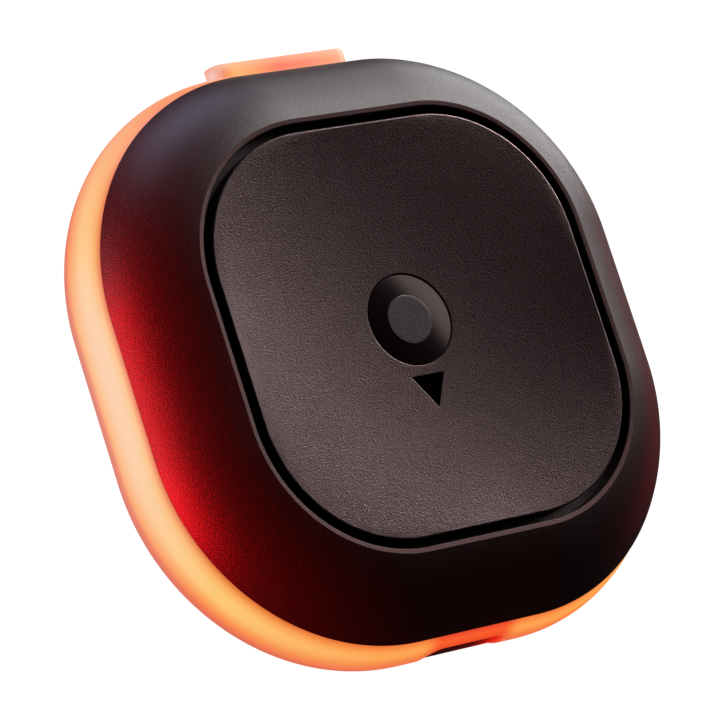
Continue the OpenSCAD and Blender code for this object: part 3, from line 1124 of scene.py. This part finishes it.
@dataclass
class Bezel:
    """The sloped shell between the face plate and the light ring."""

    lip: float = 16.0
    low: float = 21.19
    seam: float = 7.6
    groove: float = 15.64
    lip_fall: float = 0.04
    shelf: float = 12.6
    shelf_top: float = 10.9
    shelf_low: float = 10.0
    slope_top: float = 20.0  # degrees from level, at the lip
    slope_low: float = 66.0  # degrees from level, at the low edge
    wall: float = 1.4
    boss: float = 11.03
    boss_radius: float = 1.8
    pilot: float = 0.68
    board_top: float = 6.4

    def profile(self) -> Points:
        """The closed section: shelf, groove, lip, the slope's arc, the low edge, the inner arc.

        The slope's radius is its run over the difference of the sines of its two slopes.

        Returns:
            Rows of half width and height.
        """
        top, low = math.radians(self.slope_top), math.radians(self.slope_low)
        radius = (self.low - self.lip) / (math.sin(low) - math.sin(top))
        x = self.lip - radius * math.sin(top)
        z = TOP - radius * math.cos(top)
        inner = radius - self.wall
        start = math.degrees(math.asin((self.seam - z) / inner))
        end = math.degrees(math.asin((self.shelf_low - z) / inner))
        fall = self.lip_fall
        edge = np.array([[self.groove, TOP - fall - 0.08], [self.groove + 0.02, TOP - fall - 0.03],
                         [self.groove + 0.06, TOP - fall], [self.lip - 0.02, TOP - 0.002]])
        slope = arc(x, z, radius, 90 - self.slope_top, 90 - self.slope_low, 28)
        foot = arc(self.low - 0.06, self.seam + 0.06, 0.06, 20, -90, 4)
        return np.vstack([
            [[self.shelf, self.shelf_low], [self.shelf, self.shelf_top]],
            [[self.groove, self.shelf_top]], edge, slope[:-1], foot,
            arc(x, z, inner, start, end, 14),
        ])

    def build(self) -> None:
        """Makes the shell with its four screw bosses."""
        shell = loft(outline_loops(self.profile(), 48, 12), closed=True)
        high = self.shelf_low + 0.1
        tube = loft(circle_loops(np.array([
            [self.pilot, self.board_top], [self.boss_radius - 0.1, self.board_top],
            [self.boss_radius, self.board_top + 0.1], [self.boss_radius, high], [self.pilot, high],
        ]), 40), closed=True)
        for x in (-self.boss, self.boss):
            for y in (-self.boss, self.boss):
                shell = shell + tube.moved(x, y)
        piece = make_piece("bezel", shell, 18)
        settle(piece, BEZEL.build(), Body.HOUSING, "bezel_shell")
        # The lip takes the lighter, greyer plastic, a painted highlight along the bezel's edge
        finish_faces(piece, LIP_HIGHLIGHT.build(), self.on_lip(*face_middles(piece)))

    def on_lip(self, x: np.ndarray, y: np.ndarray, z: np.ndarray) -> np.ndarray:
        """Which places lie on the lip, from their half width and height.

        Args:
            x: The places along X.
            y: The places along Y.
            z: The places along Z.

        Returns:
            True for each place on the lip.
        """
        half = np.hypot(np.maximum(np.abs(x) - CORE, 0), np.maximum(np.abs(y) - CORE, 0)) + CORE
        return (half < self.lip) & (half > self.groove - 0.01) & (z > TOP - self.lip_fall - 0.1)


@dataclass
class FacePlate:
    """The dished plate with the button's hole and the pointer mark."""

    half: float = 15.0
    edge: float = 0.12
    dish: float = 1.4
    dish_radius: float = 14.9
    power: float = 3.2457  # of the rounded square, so that its diagonal matches the outline
    bottom: float = 11.0
    under_radius: float = 11.72
    under_depth: float = 1.0
    button_y: float = 0.64
    well: float = 3.4
    well_edge: float = 0.06
    well_fall: float = 0.025
    guide: float = 4.32
    guide_low: float = 9.5
    pointer_y: float = -3.5
    pointer_width: float = 2.74
    pointer_length: float = 2.45
    pointer_floor: float = 10.9
    pointer_edge: float = 0.05
    pointer_fall: float = 0.02

    def height(self, x: np.ndarray, y: np.ndarray) -> np.ndarray:
        """The face: a round bowl in the middle that turns into the outline's shape at the rim.

        The bowl's height grows with the square of the distance from the middle. That distance is
        round near the middle and is the distance of a rounded square near the rim.

        Args:
            x: The places along X.
            y: The places along Y.

        Returns:
            The heights.
        """
        rim = self.half - self.edge
        square = (np.abs(x) ** self.power + np.abs(y) ** self.power) ** (2 / self.power) / rim**2
        round_ = (x**2 + y**2) / self.dish_radius**2
        share = np.clip(square, 0, 1) ** 1.5
        return np.minimum(TOP - self.dish * (1 - (round_ + (square - round_) * share)), TOP)

    def circle(
        self, radius: float, z: float | None, angle: np.ndarray, y: float = 0.0
    ) -> Points:
        """A circle with one point at each angle.

        Args:
            radius: Its radius.
            z: Its height, or None where it lies on the face.
            angle: The points' angles.
            y: Its centre along Y.

        Returns:
            Rows of x, y and z.
        """
        x, y = radius * np.cos(angle), y + radius * np.sin(angle)
        z = self.height(x, y) if z is None else np.full_like(x, z)
        return np.stack([x, y, z], -1)

    def sides(self) -> np.ndarray:
        """The plate's edge, from the face's rim down to the underside.

        Returns:
            The loops, as an array of loops, points and x, y, z.
        """
        half = self.half
        loops = outline_loops(np.array([
            [half - self.edge, TOP], [half - 0.03, TOP - 0.03], [half, TOP - 0.1],
            [half, self.bottom + 0.05], [half - 0.05, self.bottom],
        ]), 44, 14)
        loops[0, :, 2] = self.height(*loops[0, :, :2].T)
        return loops

    def underside(self, angle: np.ndarray) -> list[Points]:
        """The underside's hollow, whose depth grows with the square of the way in, and the guide.

        Args:
            angle: The angles of each circle's points.

        Returns:
            Circles from the plate's edge to the rim of the button's hole.
        """
        low = TOP - self.dish - self.under_depth
        loops = [self.circle(self.under_radius, self.bottom, angle)]
        for share in (0.8, 0.6, 0.45):
            z = low + (self.bottom - low) * share**2
            loops.append(self.circle(self.under_radius * share, z, angle))
        guide = (
            (self.guide, low + 0.1), (self.guide, self.guide_low), (self.well, self.guide_low),
            (self.well, TOP - self.dish - 0.1),
        )
        loops += [self.circle(radius, z, angle, self.button_y) for radius, z in guide]
        rim = self.circle(self.well, None, angle, self.button_y)
        rim[:, 2] -= self.well_fall
        return [*loops, rim, self.circle(self.well + self.well_edge, None, angle, self.button_y)]

    def pointer_outline(self, grow: float) -> Points:
        """The pointer mark's outline, a triangle with small round corners.

        The triangle grows from the centre of the circle inside it, so that its sides move out
        evenly. That circle's radius is twice the triangle's area over its girth.

        Args:
            grow: How far the sides stand outside the mark, in millimetres.

        Returns:
            Rows of x and y.
        """
        half, y, length = self.pointer_width / 2, self.pointer_y, self.pointer_length
        mark = rounded([(-half, y, 0.05), (0, y - length, 0.05), (half, y, 0.05)], 5)
        reach = 2 * half * length / (2 * half + 2 * math.hypot(half, length))
        centre = np.array([0, y - reach])
        return centre + (resampled(mark, 0.12) - centre) * max(0.0, (reach + grow) / reach)

    def pointer(self) -> np.ndarray:
        """The pointer mark's edge, walls and floor.

        Returns:
            The loops, as an array of loops, points and x, y, z.
        """
        loops = []
        for grow, sink in ((self.pointer_edge, 0.0), (0.0, self.pointer_fall)):
            flat = self.pointer_outline(grow)
            loops.append(np.column_stack([flat, self.height(*flat.T) - sink]))
        for grow, lift in ((-0.02, 0.05), (-0.04, 0.015), (-0.08, 0.0), (-math.inf, 0.0)):
            flat = self.pointer_outline(grow)
            loops.append(np.column_stack([flat, np.full(len(flat), self.pointer_floor + lift)]))
        return np.stack(loops)

    def in_pointer(self, x: np.ndarray, y: np.ndarray, z: np.ndarray) -> np.ndarray:
        """Which places lie in the sunk pointer mark.

        Args:
            x: The places along X.
            y: The places along Y.
            z: The places along Z.

        Returns:
            True for each place on the mark's walls or floor.
        """
        sunk = self.height(x, y) - z > self.pointer_fall + 0.01
        near = inside(np.column_stack([x, y]), self.pointer_outline(0.015))
        return sunk & near & (z > self.pointer_floor - 0.1)

    def build(self) -> None:
        """Makes the plate: face, edge, underside, guide tube, hole and pointer mark."""
        sides, pointer = self.sides(), self.pointer()
        under = self.underside(np.arctan2(sides[-1, :, 1], sides[-1, :, 0]))
        holes = [under[-1][:, :2], pointer[0, :, :2]]
        face = patch(sides[0, :, :2], holes, self.height, 0.42)
        body = loft(np.stack([*sides, *under]))
        piece = make_piece("face_plate_dished", face + body + loft(pointer), 16)
        settle(piece, PLATE.build(), Body.HOUSING, "face_plate")
        finish_faces(piece, POINTER.build(), self.in_pointer(*face_middles(piece)))


@dataclass
class Button:
    """The push button: flat top, cone, skirt, stop flange and post."""

    axis_y: float = 0.64
    top: float = 11.17
    top_radius: float = 1.84
    skirt: float = 3.36
    drop: float = 0.07
    flange: float = 4.0
    flange_top: float = 9.4
    flange_low: float = 8.9
    post: float = 1.0
    post_low: float = 8.2

    def build(self) -> None:
        """Makes the button by turning its profile about its axis."""
        r, z = self.top_radius, self.top
        low = z - self.drop
        profile = np.vstack([
            [[0, z], [r - 0.3, z], [r - 0.06, z], [r - 0.04, z - 0.004], [r - 0.015, z - 0.018]],
            [[r, z - 0.035], [r + 0.015, z - 0.037]],
            [[self.skirt - 0.05, low + 0.005], [self.skirt - 0.03, low]],
            arc(self.skirt - 0.03, low - 0.03, 0.03, 85, 0, 3),
            [[self.skirt, low - 0.15], [self.skirt, self.flange_top]],
            [[self.flange - 0.06, self.flange_top], [self.flange, self.flange_top - 0.06]],
            [[self.flange, self.flange_low], [self.post, self.flange_low]],
            [[self.post, self.post_low + 0.1], [self.post - 0.1, self.post_low]],
            [[0, self.post_low]],
        ])
        piece = make_piece("button", loft(circle_loops(profile, 128, 0, self.axis_y)), 40)
        settle(piece, PolishedButton().build(), Body.BUTTON, "button_cap")


@dataclass
class LightRing:
    """The lit ring with the lanyard lug and the finger recess."""

    half: float = 22.0
    radius: float = 4.13
    height: float = 4.52
    seam: float = 7.6
    inner: float = 19.0
    foot: float = 1.7
    gasket_in: float = 19.3
    gasket_out: float = 19.9
    gasket_depth: float = 0.4
    lug_half: float = 5.85
    lug_end: float = 22.9
    lug_top: float = 5.85
    lug_thickness: float = 2.0
    lug_edge: float = 0.08
    slot_half: float = 3.5
    slot_in: float = 20.2
    slot_depth: float = 1.35
    recess_half: float = 3.55
    recess_top: float = 5.9
    recess_depth: float = 0.14
    recess_corner: float = 1.4

    def profile(self) -> Points:
        """The closed section: foot, inner wall, gasket groove, half-round outside.

        Returns:
            Rows of half width and height.
        """
        middle = self.half - self.radius
        top = math.degrees(math.asin((self.seam - self.height) / self.radius))
        low = self.seam - self.gasket_depth
        outside = arc(middle, self.height, self.radius, top, -90, 56)
        edge = outside[0] - [0.05, 0.0]
        return np.vstack([
            [[middle, self.foot], [self.inner, self.foot], [self.inner, self.seam]],
            [[self.gasket_in, self.seam], [self.gasket_in, low], [self.gasket_out, low]],
            [[self.gasket_out, self.seam], edge, outside[0] + [0.012, -0.03]], outside[1:],
        ])

    def lug(self) -> Surface:
        """A bar along X whose two ends are half-rounds, with small round edges at its outer face.

        Its section across Y is a rectangle between two half circles of half the bar's thickness.
        Near the outer face the section shrinks along its normal, by a quarter circle's law.

        Returns:
            The closed surface.
        """
        end, e = self.lug_thickness / 2, self.lug_edge
        middle = np.array([self.lug_half - end, self.lug_top - end])
        turn = np.radians(np.linspace(-90, 90, 25))
        right = middle + end * np.stack([np.cos(turn), np.sin(turn)], -1)
        left = right[::-1] * [-1, 1]
        flat = np.linspace(0, 1, 12)[1:-1, None]
        section = np.vstack([right, right[-1] + (left[0] - right[-1]) * flat,
                             left, left[-1] + (right[0] - left[-1]) * flat])
        inset = section - [0, middle[1]]
        length = np.maximum(np.abs(inset[:, 0]) - middle[0], 0)
        normal = np.stack([np.sign(inset[:, 0]) * length, inset[:, 1]], -1)
        normal /= np.linalg.norm(normal, axis=1)[:, None]
        root = np.full(len(section), self.inner + 0.5)
        rows = [np.column_stack([section[:, 0], root, section[:, 1]])]
        for part in np.radians(np.linspace(0, 90, 5)):
            shape = section - normal * e * (1 - math.cos(part))
            y = self.lug_end - e * (1 - math.sin(part))
            rows.append(np.column_stack([shape[:, 0], np.full(len(shape), y), shape[:, 1]]))
        ends = [np.broadcast_to(rows[i].mean(0), rows[i].shape) for i in (0, -1)]
        return loft(np.stack([ends[0], *rows, ends[1]]))

    def recess_floor(self, x: np.ndarray, z: np.ndarray) -> np.ndarray:
        """The recess's floor along Y: the ring's section with its radius less the depth.

        Args:
            x: The places along X, which the floor doesn't depend on.
            z: The places along Z.

        Returns:
            The places along Y.
        """
        deep = self.radius - self.recess_depth
        return self.radius - self.half - np.sqrt(deep**2 - (z - self.height) ** 2)

    def recess_cutter(self) -> Surface:
        """A block with round upper corners whose inner face follows the ring's section.

        Returns:
            The closed surface.
        """
        c, w = self.recess_corner, self.recess_half
        face = rounded([(-w, 0.9, 0), (w, 0.9, 0), (w, self.recess_top, c),
                        (-w, self.recess_top, c)], 12)
        face = resampled(face, 0.25)
        back = patch(face, [], self.recess_floor, 0.25)
        x, z, y = back.points.T
        back = Surface(np.column_stack([x, y, z]), triangles=back.triangles)
        edge_in = np.column_stack([face[:, 0], self.recess_floor(*face.T), face[:, 1]])
        edge_out = edge_in.copy()
        edge_out[:, 1] = -self.half - 1
        centre = np.broadcast_to(edge_out.mean(0), edge_out.shape)
        return back + loft(np.stack([edge_in, edge_out, centre]))

    def build(self) -> None:
        """Makes the ring, joins the lug and cuts the lanyard slot and the recess."""
        piece = make_piece("light_ring_lit", loft(outline_loops(self.profile(), 48, 12), True))
        cut(piece, make_piece("lug", self.lug()), "UNION")
        slot = rounded_block((2 * self.slot_half, self.slot_depth, 12), 0.3, 4)
        slot = slot.moved(0, self.slot_in + self.slot_depth / 2, 4.5)
        cut(piece, make_piece("slot", slot), "DIFFERENCE")
        relief = rounded_block((2 * self.slot_half, 4, 4), 0.02, 1)
        relief = relief.moved(0, self.slot_in + 2, self.lug_top + 2)
        cut(piece, make_piece("relief", relief), "DIFFERENCE")
        cut(piece, make_piece("recess", self.recess_cutter()), "DIFFERENCE")
        piece.data.shade_smooth()
        piece.data.set_sharp_from_angle(angle=math.radians(32))
        settle(piece, LitPolycarbonate().build(), Body.HOUSING, "light_ring")


@dataclass
class BackCover:
    """The press-on cover with its spigot, seal groove and four snap fingers."""

    half: float = 17.7
    floor: float = 1.2
    edge: float = 0.5
    spigot_out: float = 17.35
    spigot_in: float = 16.3
    spigot_top: float = 2.5
    groove_depth: float = 0.45
    groove_middle: float = 2.1
    groove_radius: float = 0.24
    snap_x: float = 15.0
    snap_thickness: float = 0.7
    snap_width: float = 4.0
    snap_top: float = 4.2
    hook: float = 0.3

    def slab(self) -> Surface:
        """The floor with its round lower edge and the spigot, as one section round the outline.

        Returns:
            The closed surface.
        """
        e, f = self.edge, self.floor
        g, m, r = self.groove_depth, self.groove_middle, self.groove_radius
        profile = np.vstack([
            [[CORE, 0], [self.half - e - 0.3, 0]],
            arc(self.half - e, e, e, -90, 0, 8),
            arc(self.half - 0.08, f - 0.08, 0.08, 0, 90, 3),
            [[self.spigot_out, f], [self.spigot_out, m - r]],
            [[self.spigot_out - g, m - r], [self.spigot_out - g, m + r]],
            [[self.spigot_out, m + r], [self.spigot_out - 0.1, self.spigot_top]],
            [[self.spigot_in + 0.1, self.spigot_top], [self.spigot_in, self.spigot_top - 0.1]],
            [[self.spigot_in, f + 0.15], [self.spigot_in - 0.15, f], [CORE, f]],
        ])
        loops = outline_loops(profile, 40, 10)
        under = np.zeros_like(loops[:1])
        over = under + [0, 0, f]
        return loft(np.vstack([under, loops, over]))

    def finger(self) -> Surface:
        """One snap finger: a blade with a hook at its top, whose two sides are drawn in a little.

        Returns:
            The closed surface.
        """
        x, t, top, f = self.snap_x, self.snap_thickness, self.snap_top, self.floor - 0.3
        blade = rounded([
            (x, f, 0), (x + t, f, 0), (x + t, 3.45, 0.1), (x + t + self.hook, 3.55, 0.06),
            (x + t + self.hook, 3.75, 0.06), (x + t, top - 0.1, 0.1), (x + t, top, 0.05),
            (x, top, 0.2),
        ], 3)
        w = self.snap_width / 2
        shrink = (blade - blade.mean(0)) * 0.9 + blade.mean(0)
        loops = []
        for outline, y in ((shrink, -w), (blade, -w + 0.06), (blade, w - 0.06), (shrink, w)):
            loops.append(np.column_stack([outline[:, 0], np.full(len(outline), y), outline[:, 1]]))
        ends = [np.broadcast_to(loops[i].mean(0), loops[i].shape) for i in (0, -1)]
        return loft(np.stack([ends[0], *loops, ends[1]]))

    def build(self) -> None:
        """Makes the cover."""
        cover = self.slab()
        for side in range(4):
            cover = cover + self.finger().turned(90 * side)
        settle(make_piece("back_cover_moulded", cover), COVER.build(), Body.COVER,
               "back_cover")


@dataclass
class CoinCell:
    """The coin cell: a drawn can below and a cap above, with a seal between them."""

    radius: float = 10.0
    low: float = 1.6
    can_height: float = 2.95
    sheet: float = 0.25
    cap_radius: float = 8.8
    seal_radius: float = 9.3
    height: float = 3.2

    def build(self) -> None:
        """Makes the can and the cap by turning their profiles."""
        z, t, r = self.low, self.sheet, self.radius
        can = np.vstack([
            [[0, z], [6.9, z], [7.1, z + 0.03], [r - 1.2, z + 0.03], [r - 0.8, z]],
            arc(r - 0.4, z + 0.4, 0.4, -90, 0, 7),
            arc(r - 0.3, z + self.can_height - 0.3, 0.3, 0, 90, 6),
            [[self.seal_radius + 0.05, z + self.can_height]],
            [[self.seal_radius, z + self.can_height - 0.05], [self.seal_radius, z + t], [0, z + t]],
        ])
        piece = make_piece("cell_can_drawn", loft(circle_loops(can, 128)))
        settle(piece, STEEL.build(), Body.COVER, "cell_can")
        c, top = self.cap_radius, z + self.height
        cap = np.vstack([
            [[c - t, z + t], [c, z + t]],
            arc(c - 0.35, top - 0.35, 0.35, 0, 90, 7),
            [[c - 0.9, top], [c - 1.1, top - 0.04], [0, top - 0.04], [0, top - t]],
            [[c - t, top - t]],
        ])
        piece = make_piece("cell_cap_drawn", loft(circle_loops(cap, 128), closed=True))
        settle(piece, STEEL.build(), Body.COVER, "cell_cap")


@dataclass
class PackedParts:
    """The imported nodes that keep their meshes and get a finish."""

    finishes: dict[Finish, tuple[str, ...]] = field(default_factory=lambda: {
        SILICONE: ("cover_seal", "ring_gasket", "button_seal"),
        FOAM: ("cell_pad",),
        NYLON: ("cell_gasket",),
        PELLET: ("cell_core",),
        FILM: ("plate_adhesive",),
        FRAME: ("inner_frame", "button_carrier", "switch_plunger"),
        ZINC: ("case_screws",),
        SolderMask(): ("circuit_board",),
        LampPhosphor(): ("ring_leds",),
        EPOXY: ("radio_chip", "motion_sensor", "led_driver", "power_converter",
                "power_inductor", "resistors", "switch_body", "buzzer_case"),
        CAN: ("shield_can", "crystal"),
        CERAMIC: ("chip_antenna", "capacitors", "buzzer_ceramic"),
        SPRING: ("switch_dome", "positive_contact", "negative_contact"),
        BRASS: ("buzzer_disc",),
    })

    def build(self, nodes: dict[str, bpy.types.Object]) -> None:
        """Dresses each shown node.

        Args:
            nodes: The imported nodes' objects by name.
        """
        for finish, names in self.finishes.items():
            material = finish.build()
            for name in names:
                node = nodes[name]
                node.data.materials.clear()
                node.data.materials.append(material)
                LOG.info("%s: %s", name, material.name)


# ---------------------------------------------------------------- studio


@dataclass
class Camera:
    """The camera: where it looks from, how it is turned, and its lens."""

    aim: tuple[float, float, float] = (-5.853, -2.055, 12.5)
    distance: float = 290.88
    azimuth: float = -70.975
    elevation: float = 54.455
    roll: float = 56.495
    lens: float = 209.819
    sensor: float = 36.0

    def build(self) -> None:
        """Makes the scene's camera.

        It stands at azimuth from -Y towards +X and at elevation above the floor, looks at the
        aim, and is turned about its line of sight by roll.
        """
        a, e, r = (math.radians(v) for v in (self.azimuth, self.elevation, self.roll))
        back = Vector((math.sin(a) * math.cos(e), -math.cos(a) * math.cos(e), math.sin(e)))
        level = Vector((0, 0, 1)).cross(back).normalized()
        up = back.cross(level)
        right = math.cos(r) * level + math.sin(r) * up
        up = math.cos(r) * up - math.sin(r) * level
        data = bpy.data.cameras.new("camera")
        data.lens, data.sensor_width = self.lens, self.sensor
        data.clip_start, data.clip_end = 0.01, 20
        camera = bpy.data.objects.new("camera", data)
        turn = Matrix((right, up, back)).transposed().to_4x4()
        place = Vector(self.aim) * MM + back * self.distance * MM
        camera.matrix_world = Matrix.Translation(place) @ turn
        bpy.context.scene.collection.objects.link(camera)
        bpy.context.scene.camera = camera


@dataclass
class Softbox:
    """A soft rectangular lamp that looks at the tag.

    One below the horizon stands for the floor's glow, and the floor lets its light through.
    """

    name: str
    azimuth: float  # degrees from +X towards +Y
    elevation: float
    width: float  # in metres, along the horizon
    height: float
    power: float
    colour: str = "#ffffff"
    distance: float = 0.5
    lights: tuple[str, ...] = ()  # the only pieces it lights; none named means all

    def build(self) -> None:
        """Makes the lamp."""
        data = bpy.data.lights.new(self.name, "AREA")
        data.shape, data.size, data.size_y = "RECTANGLE", self.width, self.height
        data.energy, data.color = self.power, linear(self.colour)[:3]
        lamp = bpy.data.objects.new(self.name, data)
        a, e = math.radians(self.azimuth), math.radians(self.elevation)
        back = Vector((math.cos(a) * math.cos(e), math.sin(a) * math.cos(e), math.sin(e)))
        turn = back.to_track_quat("Z", "Y").to_matrix().to_4x4()
        lamp.matrix_world = Matrix.Translation(back * self.distance + Vector((0, 0, 0.01))) @ turn
        lamp.visible_camera = False
        bpy.context.scene.collection.objects.link(lamp)
        if self.lights:
            only = bpy.data.collections.new(self.name + " lights")
            for name in self.lights:
                only.objects.link(bpy.data.objects[name])
            lamp.light_linking.receiver_collection = only


BEZEL_ONLY = ("bezel",)
LAMPS = (
    # White light from the far right, its weak fill from higher up, and light off the far floor
    Softbox("key", 38, 19, 0.42, 0.2, 2.2, "#fffbfc"),
    Softbox("key upper", 32, 38, 0.4, 0.16, 0.6, "#ffe0e0"),
    Softbox("floor far", 36, -14, 0.3, 0.15, 0.66),
    # Cool and rose light from low down beyond the lug
    Softbox("cool low", 88, -2, 0.35, 0.2, 0.6, "#d4dcff"),
    Softbox("rose low", 150, -15, 0.2, 0.2, 0.25, "#ffc8d8"),
    # Light that skims the plate and picks out its grain
    Softbox("plate rake", 33, 2, 0.2, 0.12, 10.5, "#ffe8e8", lights=("face_plate_dished",)),
    # The light ring's glow on the bezel, which the ring by itself doesn't give
    Softbox("ring glow", 187, -15, 0.3, 0.2, 6.6, "#ff1420", lights=BEZEL_ONLY),
    Softbox("ring haze", 180, -1, 0.5, 0.12, 4.2, "#ff0406", lights=BEZEL_ONLY),
    Softbox("rim blush", 172, -26, 0.25, 0.1, 0.9, "#ff90a0", lights=BEZEL_ONLY),
    Softbox("right glow", 0, -16, 0.3, 0.2, 0.09, "#ff4c5c", lights=BEZEL_ONLY),
)


@dataclass
class Studio:
    """The pale floor, the soft lamps, the room's light and the camera."""

    floor_half: float = 4.0  # in metres
    floor_drop: float = 0.03  # in millimetres, so that the floor and the underside don't fight
    room_light: float = 0.015  # strength of the room's light on the tag

    def floor(self) -> None:
        """A plain floor that shines enough to stay almost white and still takes a soft shadow."""
        h = self.floor_half
        mesh = bpy.data.meshes.new("floor")
        mesh.from_pydata([(-h, -h, 0), (h, -h, 0), (h, h, 0), (-h, h, 0)], [], [(0, 1, 2, 3)])
        mesh.transform(Matrix.Translation((0, 0, -self.floor_drop * MM)))
        floor = bpy.data.objects.new("floor", mesh)
        material, shader = new_material("matt studio floor")
        feed(shader, {
            "Base Color": linear("#909090"),
            "Roughness": 0.9,
            "Specular IOR Level": 0.0,
            "Emission Color": linear("#ffffff"),
            "Emission Strength": 1.0,
        })
        mesh.materials.append(material)
        floor.visible_glossy = floor.visible_diffuse = floor.visible_shadow = False
        bpy.context.scene.collection.objects.link(floor)

    def room(self) -> None:
        """A dim even light from all round; only the camera sees the room as white."""
        world = bpy.data.worlds.new("room")
        world.use_nodes = True
        tree = world.node_tree
        seen = add_node(tree, "LightPath", {}, "Is Camera Ray")
        strength = add_node(
            tree, "MapRange", {"Value": seen, "To Min": self.room_light, "To Max": 1.0}
        )
        feed(tree.nodes["Background"], {"Strength": strength, "Color": linear("#ffffff")})
        bpy.context.scene.world = world

    def build(self) -> None:
        """Makes the whole set."""
        bpy.context.scene.view_settings.view_transform = "Standard"
        self.floor()
        self.room()
        Camera().build()
        for lamp in LAMPS:
            lamp.build()


def main() -> None:
    """Builds the tag and the studio round it."""
    logging.basicConfig(level=logging.INFO, format="%(name)s %(message)s")
    Bezel().build()
    FacePlate().build()
    Button().build()
    LightRing().build()
    BackCover().build()
    CoinCell().build()
    PackedParts().build(frame["nodes"])
    Studio().build()


if __name__ == "__main__":
    main()
